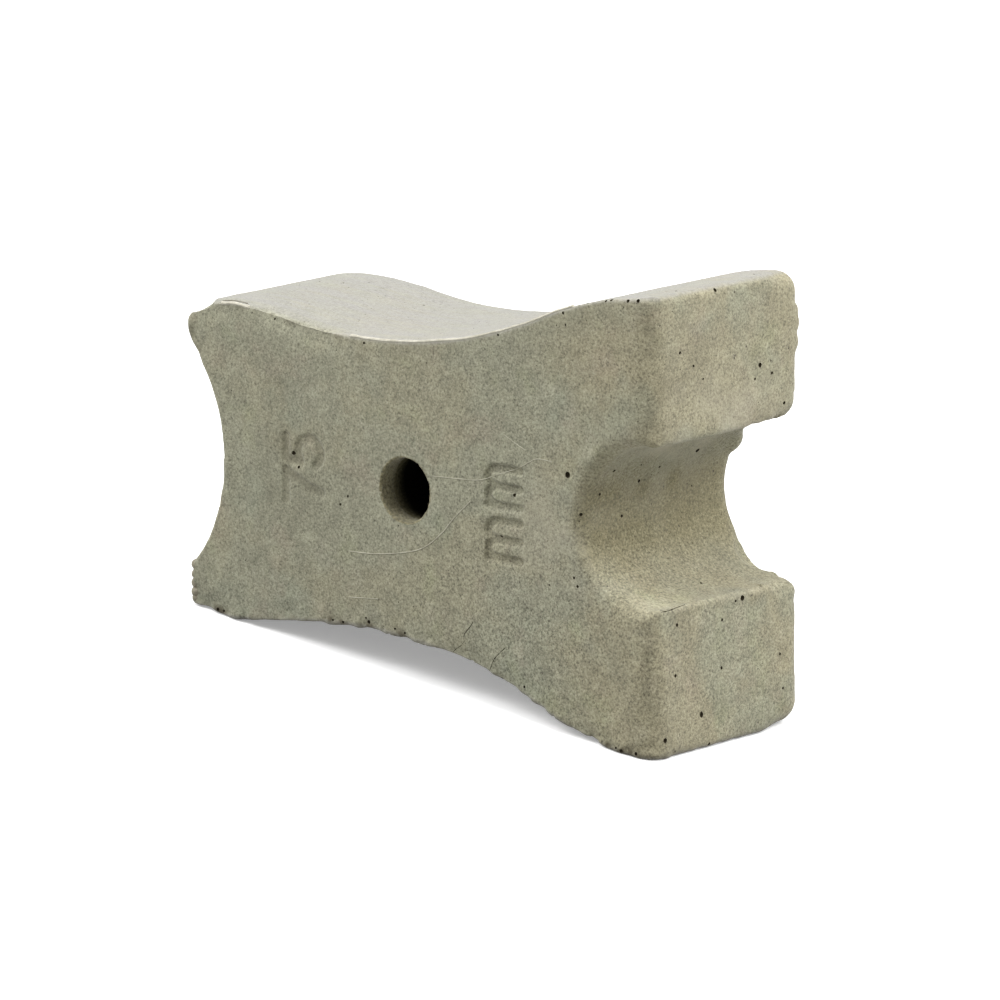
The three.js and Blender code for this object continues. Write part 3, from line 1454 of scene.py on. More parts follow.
def tube_along(
    desk: Desk, lines: Any, step: Any, unevenness: Any, seed: Any
) -> bpy.types.NodeSocket:
    """Closed tubes of uneven width along lines of points.

    Args:
        desk: Desk of the tree.
        lines: Socket of the edges, which carry the attribute width.
        step: Distance between the tube's rings.
        unevenness: Share by which the width swings.
        seed: Seed of the swing.

    Returns:
        The tubes' socket.
    """
    curve = desk.add("GeometryNodeMeshToCurve", {"Mesh": lines})
    spacing = {"Curve": curve.outputs["Curve"], "Length": step}
    even = desk.add("GeometryNodeResampleCurve", spacing, mode="LENGTH")
    place = desk.add("GeometryNodeInputPosition").outputs["Position"]
    swing = desk.sum("MULTIPLY_ADD", desk.noise(place, seed, 1.1 * MM), 2.0, -1.0)
    factor = desk.sum("MULTIPLY_ADD", swing, unevenness, 1.0)
    scale = desk.sum("MULTIPLY", carried(desk, "width", "FLOAT"), factor)
    ring = desk.add("GeometryNodeCurvePrimitiveCircle", {"Resolution": 6, "Radius": 0.5})
    tube = desk.add(
        "GeometryNodeCurveToMesh",
        {
            "Curve": even.outputs["Curve"],
            "Profile Curve": ring.outputs["Curve"],
            "Scale": scale,
            "Fill Caps": True,
        },
    )
    return tube.outputs["Mesh"]


def ridge_tree() -> GrowthTree:
    """Tree that lays a fine cast ridge along each line of points."""
    number = SocketKind.NUMBER
    growth = GrowthTree(
        "cast_ridges",
        {
            "Step": number,
            "Unevenness": number,
            "Seed": number,
            "Material": SocketKind.MATERIAL,
        },
    )
    entry = growth.entry
    tubes = tube_along(
        growth.desk, entry["Geometry"], entry["Step"], entry["Unevenness"], entry["Seed"]
    )
    growth.close(tubes, entry["Material"])
    return growth


def bead_tree() -> GrowthTree:
    """Tree that sets a lumpy bead of paste on each point."""
    number = SocketKind.NUMBER
    growth = GrowthTree(
        "paste_beads",
        {"Lump size": number, "Lump height": number, "Material": SocketKind.MATERIAL},
    )
    desk, entry = growth.desk, growth.entry
    beads = balls_as_noted(desk, entry["Geometry"], 4)
    solid = desk.add("GeometryNodeRealizeInstances", {"Geometry": beads}).outputs["Geometry"]
    lumpy = swollen(desk, solid, entry["Lump size"], entry["Lump height"], 8.0)
    growth.close(lumpy, entry["Material"])
    return growth


@dataclass(frozen=True)
class SeenHole:
    """An air hole that shows in the photograph."""

    column: float  # the pixel that it is in
    row: float
    size: float  # its radius in millimetres
    tall: float = 1.0  # how many times taller than wide it is

    @property
    def radii(self) -> Point3:
        """Its radii along the part's axes."""
        return mm(self.size, self.size, self.size * self.tall)


class SeenHoles(Enum):
    """The air holes that show in the photograph, by where they are."""

    FRONT_FACE = (
        SeenHole(567.6, 475, 0.42), SeenHole(293.7, 453, 0.30), SeenHole(299, 467, 0.22),
        SeenHole(514.5, 495, 0.26), SeenHole(501.6, 536, 0.22),
    )
    CHANNEL = (
        SeenHole(697.6, 450.4, 0.36), SeenHole(614, 471, 0.26), SeenHole(639, 481, 0.24),
        SeenHole(659.5, 467, 0.18), SeenHole(581, 514.5, 0.24), SeenHole(621.7, 516, 0.22),
    )
    UPPER_SOLE = (
        SeenHole(760, 365, 0.32), SeenHole(772, 373, 0.22), SeenHole(680, 353, 0.20),
        SeenHole(693.5, 366, 0.20), SeenHole(703, 379, 0.18), SeenHole(715, 290, 0.30),
    )
    LOWER_SOLE = (
        SeenHole(742.5, 598, 0.40), SeenHole(734, 590, 0.22), SeenHole(701, 583, 0.20),
        SeenHole(677, 625, 0.26), SeenHole(721.5, 668, 0.24), SeenHole(675.4, 675.8, 0.24),
        SeenHole(701.4, 714.7, 0.34, 1.3), SeenHole(665.3, 740.7, 0.34),
        SeenHole(783, 688, 0.20), SeenHole(780, 654, 0.20), SeenHole(709, 744, 0.22),
        SeenHole(722, 620, 0.22),
    )
    BESIDE_CHANNEL = (SeenHole(577.5, 586.6, 0.20), SeenHole(574, 578, 0.20))
    TOP_EDGE_AT_FOOT = (
        SeenHole(602, 300, 0.26), SeenHole(612, 299.5, 0.30), SeenHole(628, 301, 0.26),
        SeenHole(638, 301, 0.26),
    )
    UPPER_SOLE_AT_BACK = (SeenHole(784, 403, 0.26), SeenHole(755, 379, 0.2))
    LOWER_EDGE_AT_SADDLE = (
        SeenHole(218, 609.5, 0.28), SeenHole(224, 611, 0.2), SeenHole(333, 620, 0.16),
        SeenHole(343, 622, 0.2), SeenHole(369, 622, 0.28), SeenHole(366, 618, 0.16),
        SeenHole(395, 629, 0.16), SeenHole(405, 633, 0.18),
    )
    LOWER_EDGE_AT_FOOT = (
        SeenHole(616, 748, 0.18), SeenHole(621, 751, 0.28), SeenHole(636, 754, 0.24),
    )
    TOP_EDGE = (
        SeenHole(606, 301, 0.2), SeenHole(588, 303, 0.2), SeenHole(563, 313, 0.2),
        SeenHole(275, 319, 0.2), SeenHole(364, 343, 0.18), SeenHole(498, 335, 0.18),
    )


@dataclass(frozen=True)
class SeenLine:
    """A fine ridge or crack that shows in the photograph, as pixels that it passes."""

    width: float
    pixels: tuple[Point2, ...]


class SeenRidge(Enum):
    """Fine ridges on the front face, where the mould was scratched."""

    UNDER_HOLE = SeenLine(0.15 * MM, (
        (349, 551), (374, 553.7), (403, 552.6), (424, 547.4), (441.5, 533.5),
        (454.7, 517.4), (470.8, 501),
    ))
    THROUGH_LETTERS = SeenLine(0.135 * MM, (
        (432.7, 476), (456, 478.5), (479.6, 480), (496, 475), (516, 469),
        (528, 463), (537, 459), (551.5, 461.6),
    ))
    OVER_LETTERS = SeenLine(0.11 * MM, ((504.6, 435), (515, 443), (525, 450)))
    LOW = SeenLine(0.12 * MM, ((349, 597), (364, 598), (378, 599)))


class SeenCrack(Enum):
    """Fine cracks, cut like the air holes and painted dark inside for their shade."""

    LOWER_WAIST = SeenLine(0.13 * MM, ((473, 622), (470, 627), (465, 633), (463.5, 637)))
    LOWER_WAIST_END = SeenLine(0.1 * MM, ((464.5, 641), (461, 645.5), (456, 649), (453, 652)))
    AT_FOOT = SeenLine(0.13 * MM, (
        (505, 648), (499, 653.5), (494, 659.5), (492, 664), (489.5, 671),
    ))
    CHANNEL_EDGE = SeenLine(0.13 * MM, ((661, 612.4), (668, 610.8), (677, 607.5), (685, 604.5)))


def smooth_line(points: Sequence[Point2], steps: int = 8) -> list[Point2]:
    """Smooth line through a few points.

    Args:
        points: Points that it passes.
        steps: Short steps between two of them.

    Returns:
        The line's points.
    """
    ends = [points[0], *points, points[-1]]
    line = []
    for index in range(len(points) - 1):
        before, start, end, after = (np.array(p, float) for p in ends[index : index + 4])
        for step in range(steps):
            t = step / steps
            line.append(
                0.5
                * (
                    2 * start
                    + (end - before) * t
                    + (2 * before - 5 * start + 4 * end - after) * t**2
                    + (3 * start - before - 3 * end + after) * t**3
                )
            )
    return [tuple(p) for p in line] + [tuple(points[-1])]


@dataclass(frozen=True)
class Soiling:
    """How the skin is worn and soiled, and where shade is painted on it. Spans run in from the front
    face, an edge or a wall.
    """

    patch_size: float = 3 * MM
    patch_share: float = 0.6
    patch_swing: float = 0.8
    edge_wear: Span = Span(-1.3, 0)
    pressed: Span = Span(0.2, 1.2)
    pressed_share: float = 0.27
    bore_shade: Span = Span(1.1, 4.8)
    fleck_size: float = 0.9 * MM
    fleck_limits: Point2 = (0.1, 0.6)
    fleck_edge: Span = Span(-1.6, -0.2)
    lower_edge: Span = Span(2, 8)
    lower_share: float = 0.45
    worn_share: float = 0.6
    # Painted shade on the soles near the front face.
    sole_edge: Span = Span(-1.8, -0.4)
    sole_front: Span = Span(4, 15)
    sole_shade_share: float = 0.26
    flank_wall: Span = Span(-0.7, -0.1)
    # Where the channel's browner tint and painted shade lie: strongest at its curved end, less on
    # its lower side, faded on its roof.
    channel_wall: Span = Span(-2.2, -0.2)
    channel_floor: Span = Span(-9, -4)  # up from its lower side
    channel_roof: Span = Span(2.5, 6)
    channel_share: float = 0.2
    channel_swing: float = 0.8
    roof_fade: float = 0.9
    crumb_size: float = 1.1 * MM
    crumb_front: Span = Span(1, 3)
    crumb_share: float = 0.3
    crumb_swing: float = 0.9
    crumb_grain: float = 0.6 * MM
    crumb_limits: Point2 = (-0.2, 0.3)


@dataclass
class SpacerBlock:
    """The casting: its skin, its pressed figures and its holes."""

    sizes: BlockSizes
    mould: MouldFrame
    ground: float
    voxel: float = 0.69 * MM
    arris_reach: float = 1.5 * MM  # from a sharp edge, where the mesh is refined once
    marking_reach: float = 1.2 * MM  # from a pressed stroke
    fine_reach: float = 0.8 * MM  # where it is refined again
    stroke_reach: float = 1.0 * MM
    front_skin: float = 0.7 * MM  # how deep the pressed strokes are looked for
    pressed_skin: float = 0.5 * MM  # how deep they move the skin
    # A broad soft stain on the skin, or a patch of painted light or shade.
    settle_rounds: int = 7
    bore_skin: float = 0.25 * MM  # how far round the tie hole its wall is looked for
    bore_mouth: float = 2.4 * MM  # of the tie hole that keeps the block's own finish
    markings: tuple[Marking, ...] = (
        # of a paler tint, or of dirt where it is below zero; a few paint light and shade instead
        Marking(
            (Glyph.SEVEN, Glyph.FIVE), base=57.3 * MM, start=-3.9 * MM, height=6.3 * MM,
            width=3.9 * MM, gap=1.0 * MM, stroke=0.6 * MM, depth=0.27 * MM, slope=0.6 * MM,
        ),
        Marking(
            (Glyph.M, Glyph.M), base=22.4 * MM, start=-6.9 * MM, height=5.6 * MM,
            width=4.9 * MM, gap=2.1 * MM, stroke=0.7 * MM, depth=0.42 * MM, slope=0.4 * MM,
        ),
    )
    stains_and_painted_shading: tuple[Stain, ...] = (
        Stain(mm(-17, 0, -1), 7 * MM, 0.3),  # paler beside the channel
        Stain(mm(-24, 0, -9), 5 * MM, 0.12),
        # painted light on the channel's shaded roof
        Stain(mm(-6, 15, 9.5), 9 * MM, 0.8),
        Stain(mm(-62, 0, -4), 8 * MM, -0.22),  # dirt round the number
        Stain(mm(-67, 0, 8), 7 * MM, -0.22),
        Stain(mm(-5, 0, -23), 8 * MM, -0.1),  # dirt on the feet
        Stain(mm(0, 15, 21), 11 * MM, -0.1),
        # painted shade at the upper foot's front corner, just above the channel
        Stain(mm(-1.6, 1.4, 12.6), 2.0 * MM, -0.4),
    )
    crumbly: tuple[Stain, ...] = (
        Stain(mm(-14.5, 0, -1.5), 4.5 * MM, 0.7),
        Stain(mm(-26, 0, -15), 7 * MM, 0.5),
    )
    gritty: Stain = Stain(mm(-18, 0, -12), 22 * MM, 1.0)
    crumbs: tuple[float, ...] = mm(  # places along the lower front edge
        -76.5, -75.6, -55.6, -53.9, -49.2, -44.6, -42.8, -7.0, -4.8, -3.9, -2.3,
    )
    soiling: Soiling = Soiling()
    form: BlockForm = field(init=False)

    def __post_init__(self) -> None:
        """Works out the form from the sizes."""
        self.form = BlockForm(self.sizes)

    def rough_mesh(self, node: bpy.types.Object) -> bpy.types.Mesh:
        """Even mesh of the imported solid.

        Args:
            node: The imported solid's object.

        Returns:
            A closed mesh of small squares.
        """
        shell = bmesh.new()
        shell.from_mesh(node.data)
        bmesh.ops.remove_doubles(shell, verts=shell.verts, dist=0.001 * MM)
        mesh = bpy.data.meshes.new("block_blank")
        shell.to_mesh(mesh)
        shell.free()
        carrier = linked("block_blank", mesh)
        remesh = carrier.modifiers.new("even", "REMESH")
        remesh.mode = "VOXEL"
        remesh.voxel_size = self.voxel
        graph = bpy.context.evaluated_depsgraph_get()
        even = bpy.data.meshes.new_from_object(carrier.evaluated_get(graph), depsgraph=graph)
        bpy.data.objects.remove(carrier)
        return even

    def refine(self, mesh: bpy.types.Mesh, wanted: Callable[[np.ndarray], np.ndarray]) -> None:
        """Halves the mesh's edges where it needs to be finer.

        Args:
            mesh: Mesh to refine.
            wanted: Says for each mould place whether it is to be finer.
        """
        shell = bmesh.new()
        shell.from_mesh(mesh)
        middles = np.array([(e.verts[0].co + e.verts[1].co) / 2 for e in shell.edges])
        chosen = wanted(self.mould.to_mould(middles))
        edges = [edge for edge, take in zip(list(shell.edges), chosen) if take]
        bmesh.ops.subdivide_edges(shell, edges=edges, cuts=1, use_grid_fill=True)
        shell.to_mesh(mesh)
        shell.free()

    def near_arris(self, reach: float) -> Callable[[np.ndarray], np.ndarray]:
        """Test for places this near to a sharp edge."""

        def test(places: np.ndarray) -> np.ndarray:
            """Whether each place is near enough."""
            _, next_nearest = self.form.arris(places)
            return np.maximum(next_nearest, self.form.rim(places)) > -reach

        return test

    def near_marking(self, reach: float) -> Callable[[np.ndarray], np.ndarray]:
        """Test for places of the front face this near to a pressed stroke."""

        def test(places: np.ndarray) -> np.ndarray:
            """Whether each place is near enough."""
            strokes = np.minimum(*(m.reach(places) for m in self.markings))
            return (strokes < reach) & (places[:, 1] < self.front_skin)

        return test

    def shape(self, mesh: bpy.types.Mesh) -> None:
        """Gives the mesh the worn, chipped and pressed form.

        Args:
            mesh: Even mesh of the solid.
        """
        places = self.mould.to_mould(rows(mesh.vertices, "co"))
        places = self.form.settle(places, self.settle_rounds)
        front = np.clip(1 - places[:, 1] / self.pressed_skin, 0, 1)
        for marking in self.markings:
            places[:, 1] += marking.depth_at(places) * front
        points = self.mould.to_part(places)
        points[:, 2] = np.maximum(points[:, 2], self.ground)
        mesh.vertices.foreach_set("co", points.ravel())
        mesh.update()

    def paint(self, mesh: bpy.types.Mesh) -> None:
        """Stores where the skin is worn, dirty, pale or browner, and where light and shade are
        painted on it.

        Args:
            mesh: The finished mesh.
        """
        places = self.mould.to_mould(rows(mesh.vertices, "co"))
        u, v, w = places.T
        form, soil = self.form, self.soiling
        _, next_nearest = form.arris(places)
        wall = form.walls(places)
        swing = soil.patch_swing * form.coarse.at(places, soil.patch_size)
        patchy = np.clip(soil.patch_share + swing, 0, 1)
        # pale patches and dark stains, with painted light on the channel's roof and painted shade at
        # the upper foot's front corner
        pale_and_painted_light = sum(stain.share_at(places) for stain in self.stains_and_painted_shading) * patchy

        pressed = sum(m.depth_at(places) / m.depth for m in self.markings)
        flecks = ease(form.fine.at(places, soil.fleck_size), *soil.fleck_limits)
        lower = soil.lower_share * soil.lower_edge.fall(v)
        edges = np.where(w < 0, lower, soil.worn_share * form.worn(places))
        # painted shade on the soles near the front face
        sole = soil.sole_edge.rise(wall["sole"]) * soil.sole_front.fall(v)
        below = w + form.side_height(u)
        gaps = (np.hypot(u - at, below) / soil.crumb_size for at in self.crumbs)
        spots = sum(np.exp(-(gap**2)) for gap in gaps) * soil.crumb_front.fall(v)
        grain = ease(form.fine.at(places, soil.crumb_grain), *soil.crumb_limits)
        # Dirt in the pressed signs, on crumbled edges and at crumbs, and painted shade on the soles
        # near the front face.
        dirt_and_painted_shade = soil.pressed_share * pressed * soil.pressed.fall(v)
        dirt_and_painted_shade += soil.fleck_edge.rise(next_nearest) * flecks * edges
        dirt_and_painted_shade += soil.sole_shade_share * sole * patchy
        dirt_and_painted_shade += spots * (soil.crumb_share + soil.crumb_swing * grain)

        bore = self.in_bore(places)
        # browner tint with painted shade in the channel, strongest at its curved end, and all
        # through the tie hole
        roof = 1 - soil.roof_fade * soil.channel_roof.rise(w)
        hollow = soil.channel_share + soil.channel_swing * soil.channel_floor.rise(w) * roof
        channel = soil.channel_wall.rise(wall["channel"]) * hollow
        masks = {
            "wear": soil.edge_wear.rise(next_nearest) * patchy,
            "pale_and_painted_light": np.clip(pale_and_painted_light, 0, 1),
            # dirt, and painted shade on the soles and at the upper foot's front corner
            "dirt_and_painted_shade": np.clip(dirt_and_painted_shade - pale_and_painted_light, 0, 1),
            # painted shade deep in the tie hole
            "bore": bore * soil.bore_shade.rise(v),
            "crumbly": sum(stain.share_at(places) for stain in self.crumbly),
            "gritty": self.gritty.share_at(places),
            "flank": soil.flank_wall.rise(wall["flank"]),
            # browner tint and painted shade in the channel and the tie hole
            "channel": np.maximum(channel, bore),
        }
        for name, values in masks.items():
            layer = mesh.attributes.new(name, "FLOAT", "POINT")
            layer.data.foreach_set("value", values.astype(np.float32))

    def in_bore(self, places: np.ndarray) -> np.ndarray:
        """Whether each place is in the tie hole or in its wall."""
        s = self.sizes
        u, _, w = places.T
        return np.hypot(u + s.hole_height, w) < s.hole_diameter / 2 + self.bore_skin

    def line_bore(self, mesh: bpy.types.Mesh, material: bpy.types.Material) -> None:
        """Gives the deep part of the tie hole its own finish.

        Args:
            mesh: The finished mesh.
            material: Finish without dust or gloss.
        """
        places = self.mould.to_mould(rows(mesh.polygons, "center"))
        depth = places[:, 1]
        past_mouths = (depth > self.bore_mouth) & (depth < self.sizes.thickness - self.bore_mouth)
        deep = self.in_bore(places) & past_mouths
        slots = np.empty(len(mesh.polygons), np.int32)
        mesh.polygons.foreach_get("material_index", slots)
        slots = np.minimum(slots, len(mesh.materials) - 1)  # the cut numbers past the last
        slots[deep & (slots == 0)] = len(mesh.materials)
        mesh.materials.append(material)
        mesh.polygons.foreach_set("material_index", slots)

    def build(self, node: bpy.types.Object) -> bpy.types.Mesh:
        """Makes the block's shaped mesh, still without holes and skin.

        Args:
            node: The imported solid's object.

        Returns:
            The shaped mesh.
        """
        mesh = self.rough_mesh(node)
        log.info("even mesh: %d faces", len(mesh.polygons))
        self.refine(mesh, self.near_arris(self.arris_reach))
        self.refine(mesh, self.near_marking(self.marking_reach))
        self.refine(mesh, self.near_arris(self.fine_reach))
        self.refine(mesh, self.near_marking(self.stroke_reach))
        log.info("refined mesh: %d faces", len(mesh.polygons))
        self.shape(mesh)
        return mesh


def point_mesh(name: str, places: np.ndarray, radii: Sequence[Sequence[float]]) -> bpy.types.Mesh:
    """Loose points that carry their radii.

    Args:
        name: Name of the mesh.
        places: Points in the part's frame.
        radii: Three radii for each.

    Returns:
        The mesh of points.
    """
    mesh = bpy.data.meshes.new(name)
    mesh.from_pydata([tuple(p) for p in places], [], [])
    layer = mesh.attributes.new("radii", "FLOAT_VECTOR", "POINT")
    layer.data.foreach_set("vector", np.array(radii, np.float32).ravel())
    return mesh


def line_mesh(name: str, lines: Sequence[tuple[np.ndarray, float]]) -> bpy.types.Mesh:
    """Lines of points that carry their width.

    Args:
        name: Name of the mesh.
        lines: Each line's points in the part's frame and its width.

    Returns:
        The mesh of edges.
    """
    points: list[tuple[float, ...]] = []
    edges: list[tuple[int, int]] = []
    widths: list[float] = []
    for line, width in lines:
        first = len(points)
        points += [tuple(p) for p in line]
        widths += [width] * len(line)
        edges += [(first + i, first + i + 1) for i in range(len(line) - 1)]
    mesh = bpy.data.meshes.new(name)
    mesh.from_pydata(points, edges, [])
    layer = mesh.attributes.new("width", "FLOAT", "POINT")
    layer.data.foreach_set("value", np.array(widths, np.float32))
    return mesh


def add_piece(name: str, mesh: bpy.types.Mesh) -> bpy.types.Object:
    """Adds a finished piece that rides on the block's body.

    Args:
        name: Name of the piece.
        mesh: Its mesh, in the part's frame.

    Returns:
        The piece's object.
    """
    mesh.shade_smooth()
    mesh.set_sharp_from_angle(angle=SHARP_ANGLE)
    mesh.name = name
    piece = linked(name, mesh)
    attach(piece, BODY)
    log.info("%s: %d triangles", name, sum(len(face.vertices) - 2 for face in mesh.polygons))
    return piece


@dataclass(frozen=True)
class Lamp:
    """A square soft light that looks at the block."""

    name: str
    place: Point3
    side: float
    power: float

    def build(self, aim: Vector) -> None:
        """Adds the lamp.

        Args:
            aim: Point that it looks at.
        """
        data = bpy.data.lights.new(self.name, "AREA")
        data.shape = "SQUARE"
        data.size = self.side
        data.energy = self.power
        lamp = linked(self.name, data)
        lamp.location = self.place
        look = aim - Vector(self.place)
        lamp.rotation_euler = look.to_track_quat("-Z", "Y").to_euler()


@dataclass(frozen=True)
class Studio:
    """Plain pale floor, white surroundings and soft light."""

    floor_side: float = 4.0
    floor_drop: float = 0.05 * MM
    floor_colour: Colour = (0.9, 0.9, 0.9, 1.0)
    floor_bounce: Colour = (0.3, 0.3, 0.285, 1.0)
    floor_glow: float = 0.3  # lightens the shadow near the block
    glow_reach: Point2 = (0.15, 0.6)  # from the block, over which the glow grows to full
    sky: float = 0.55
    lamps: tuple[Lamp, ...] = (
        Lamp("overhead", (0.0, 0.0, 0.80), 0.5, 3.2),
        Lamp("right_high", (0.6, 0.25, 0.75), 0.5, 7.8),
        Lamp("left_front_high", (-0.55, -0.5, 0.7), 0.5, 7.0),
    )

    def build(self, aim: Vector) -> None:
        """Builds the floor, the world and the lamps.

        Args:
            aim: Middle of the block.
        """
        for lamp in self.lamps:
            lamp.build(aim)
        self._floor()
        self._world()
        bpy.context.scene.view_settings.view_transform = "Standard"

    @staticmethod
    def _seen(desk: Desk) -> bpy.types.NodeSocket:
        """One for rays that show the background: camera, gloss and glass."""
        rays = desk.add("ShaderNodeLightPath").outputs
        gloss = desk.sum("MAXIMUM", rays["Is Camera Ray"], rays["Is Glossy Ray"])
        return desk.sum("MAXIMUM", gloss, rays["Is Transmission Ray"])

    def _floor(self) -> None:
        """Adds the floor, which keeps the block's shadow."""
        half = self.floor_side / 2
        mesh = bpy.data.meshes.new("floor")
        corners = [(-half, -half), (half, -half), (half, half), (-half, half)]
        mesh.from_pydata([(x, y, -self.floor_drop) for x, y in corners], [], [(0, 1, 2, 3)])
        material = bpy.data.materials.new("floor_paper")
        material.use_nodes = True
        material.node_tree.nodes.clear()
        desk = Desk(material.node_tree)
        colour = desk.blend(self._seen(desk), self.floor_bounce, self.floor_colour)
        paper = desk.add("ShaderNodeBsdfDiffuse", {"Color": colour})
        here = desk.add("ShaderNodeTexCoord").outputs["Object"]
        gap = desk.add("ShaderNodeVectorMath", {"Vector": here}, operation="LENGTH")
        far = desk.ramp(gap.outputs["Value"], *self.glow_reach)
        lift = desk.sum("MULTIPLY_ADD", far, 1 - self.floor_glow, self.floor_glow)
        strength = desk.sum("MULTIPLY", lift, self._seen(desk))
        glow = desk.add("ShaderNodeEmission", {"Strength": strength})
        both = desk.add("ShaderNodeAddShader")
        desk.feed(both.inputs[0], paper.outputs["BSDF"])
        desk.feed(both.inputs[1], glow.outputs["Emission"])
        desk.add("ShaderNodeOutputMaterial", {"Surface": both.outputs["Shader"]})
        mesh.materials.append(material)
        linked("floor", mesh)

    def _world(self) -> None:
        """Makes the surroundings: white where they are seen, even soft light elsewhere."""
        world = bpy.data.worlds.new("white_room")
        world.use_nodes = True
        world.node_tree.nodes.clear()
        desk = Desk(world.node_tree)
        strength = desk.add("ShaderNodeMix", data_type="FLOAT")
        desk.feed(strength.inputs["Factor"], self._seen(desk))
        desk.feed(strength.inputs["A"], self.sky)
        desk.feed(strength.inputs["B"], 1.0)
        white = (1.0, 1.0, 1.0, 1.0)
        room = desk.add(
            "ShaderNodeBackground", {"Color": white, "Strength": strength.outputs["Result"]}
        )
        desk.add("ShaderNodeOutputWorld", {"Surface": room.outputs["Background"]})
        bpy.context.scene.world = world


class Sight:
    """Finds what a pixel of the photograph shows on the block."""

    def __init__(self, mesh: bpy.types.Mesh, camera: bpy.types.Object, eye: PhotoCamera) -> None:
        """Builds the search tree over the block.

        Args:
            mesh: The block's mesh.
            camera: The built camera.
            eye: Its description.
        """
        shell = bmesh.new()
        shell.from_mesh(mesh)
        self.tree = BVHTree.FromBMesh(shell)
        shell.free()
        self.camera = camera
        self.eye = eye

    def hit(self, pixel: Point2) -> Vector | None:
        """Point of the block under a pixel, or nothing."""
        start, direction = self.eye.ray(self.camera, pixel)
        return self.tree.ray_cast(start, direction)[0]


def seen_hole_object(sight: Sight) -> bpy.types.Object:
    """Points and radii of the air holes that the photograph shows.

    Args:
        sight: Finder of places.

    Returns:
        An object that holds them, to be removed after use.
    """
    holes = [hole for group in SeenHoles for hole in group.value]
    found = [(sight.hit((hole.column, hole.row)), hole.radii) for hole in holes]
    kept = [(np.array(at), radii) for at, radii in found if at is not None]
    mesh = point_mesh("seen_holes", np.array([at for at, _ in kept]), [r for _, r in kept])
    log.info("%d of %d seen holes placed", len(kept), len(holes))
    return linked("seen_holes", mesh)


def lines_on_skin(sight: Sight, seen: type[Enum]) -> list[tuple[np.ndarray, float]]:
    """Seen lines, laid on the block's skin.

    Args:
        sight: Finder of places.
        seen: The lines.

    Returns:
        Each line's points and its width.
    """
    lines = []
    for line in (member.value for member in seen):
        hits = [sight.hit(pixel) for pixel in smooth_line(line.pixels)]
        lines.append((np.array([tuple(h) for h in hits if h is not None]), line.width))
    return lines


@dataclass(frozen=True)
class Lip:
    """A thin lip of paste that the mould's joint left beside the upper front edge."""

    start: float  # along the block
    end: float
    width: float
    behind: float = 0.15 * MM  # how far back from the front face it stands
    above: float = 0.06 * MM  # how far above the side
    nudge: float = 0.05 * MM  # back again, once it has settled on the rounded edge
    sink: float = 0.1 * MM  # below the side, where it starts to settle
    points: int = 90

    def line(self, block: SpacerBlock) -> tuple[np.ndarray, float]:
        """The lip's points and its width.

        Args:
            block: The casting.

        Returns:
            Points in the part's frame, and the width.
        """
        form = block.form
        along = np.linspace(self.start, self.end, self.points)
        across = form.side_height(along) - self.sink
        depth = np.full_like(along, self.behind - self.nudge)
        settled = form.settle(np.stack([along, depth, across], axis=1))
        return block.mould.to_part(settled + np.array([0, self.nudge, self.above])), self.width


@dataclass(frozen=True)
class EdgeBeads:
    """Row of small beads down the lower tip of the saddle end."""

    heights: tuple[float, ...] = mm(15.2, 16.5, 17.7, 18.9, 19.75)  # below the middle line
    radii: tuple[float, ...] = mm(0.8, 0.78, 0.84, 0.84, 0.72)
    inset: float = 0.68 * MM  # from the tip, along the block
    depth: float = 0.78 * MM  # from the front face

    def points(self, block: SpacerBlock) -> bpy.types.Mesh:
        """Points with radii, one for each bead."""
        along = -block.sizes.length + self.inset
        places = np.array([(along, self.depth, -height) for height in self.heights])
        return point_mesh("beads", block.mould.to_part(places), [[r] * 3 for r in self.radii])


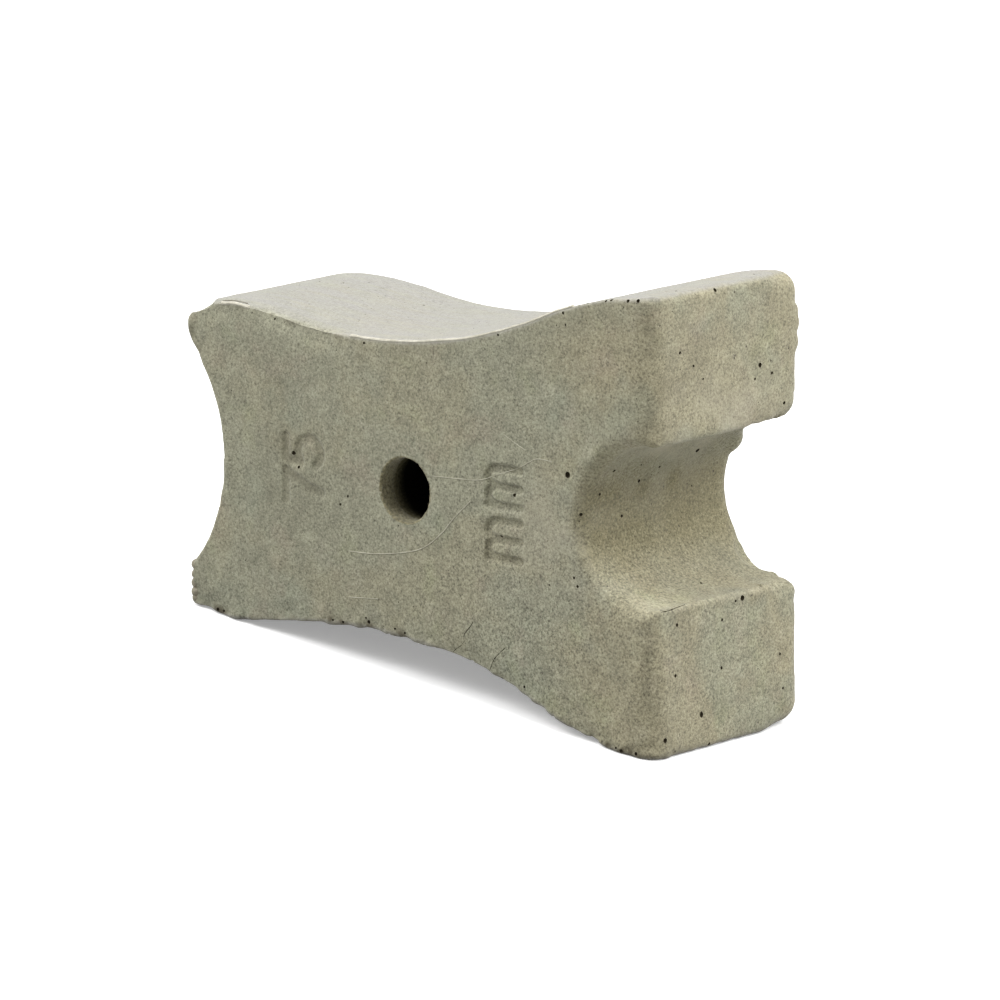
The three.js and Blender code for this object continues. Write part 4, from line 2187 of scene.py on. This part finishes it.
def main() -> None:
    """Builds the camera, the dressed block and the studio."""
    logging.basicConfig(level=logging.INFO, format="%(name)s: %(message)s")
    low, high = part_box(NODE)
    sizes = BlockSizes()
    mould = MouldFrame(sizes, low, high)
    eye = PhotoCamera()
    camera = eye.build(mould)
    bpy.context.view_layer.update()

    groups = SurfaceGroups()
    concrete = ConcreteFinish().build(groups, mould)
    shaded = ConcreteFinish("concrete_bore", gloss=0.0, dust_level=0.0).build(groups, mould)
    hollow = PaintedHoleShadeFinish().build(groups)
    pastes = {paste: paste.value.build(groups) for paste in Paste}

    block = SpacerBlock(sizes, mould, ground=low.z + SKIN_LIFT)
    mesh = block.build(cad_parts[NODE])
    skin = cast_skin_tree().freeze(
        mesh,
        {
            "Swell size": 11 * MM,
            "Swell height": 0.12 * MM,
            "Grain size": 1.3 * MM,
            "Grain height": 0.05 * MM,
            "Seed": 3.0,
            "Material": concrete,
        },
    )
    sight = Sight(skin, camera, eye)
    seen = seen_hole_object(sight)
    cracks = linked("seen_cracks", line_mesh("cracks", lines_on_skin(sight, SeenCrack)))
    holed = air_hole_tree().freeze(
        skin,
        {
            "Density": 20000.0,
            "Least radius": 0.07 * MM,
            "Most radius": 0.22 * MM,
            "Rarity": 6.0,
            "Seed": 7,
            "Seen holes": seen,
            "Seen cracks": cracks,
            "Hole material": hollow,
            "Material": concrete,
        },
    )
    bpy.data.objects.remove(seen)
    bpy.data.objects.remove(cracks)
    block.paint(holed)
    block.line_bore(holed, shaded)
    body = add_piece("spacer_skin", holed)
    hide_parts(NODE)

    ridges = ridge_tree()
    joint = (
        Lip(start=-75.2 * MM, end=-70.2 * MM, width=0.5 * MM),
        Lip(start=-52 * MM, end=-13.5 * MM, width=0.42 * MM),
    )
    # Painted shade: a dark ridge behind the upper tip's joint flash, for the shaded step there.
    crease = Lip(-76.2 * MM, -71.4 * MM, width=0.2 * MM, behind=1.4 * MM, above=0.06 * MM)
    fine_pieces = (
        ("cast_ridges", lines_on_skin(sight, SeenRidge), Paste.SCRATCH),
        ("joint_flash", [lip.line(block) for lip in joint], Paste.JOINT),
        ("soiled_flash", [crease.line(block)], Paste.CREASE),
    )
    for name, lines, paste in fine_pieces:
        values = {"Step": 0.35 * MM, "Unevenness": 0.6, "Seed": 2.0, "Material": pastes[paste]}
        add_piece(name, ridges.freeze(line_mesh(f"{name}_lines", lines), values))
    lumps = {"Lump size": 0.6 * MM, "Lump height": 0.08 * MM, "Material": pastes[Paste.BEAD]}
    add_piece("paste_beads", bead_tree().freeze(EdgeBeads().points(block), lumps))

    middle = (low + high) / 2
    Studio().build(middle)


if __name__ == "__main__":
    main()
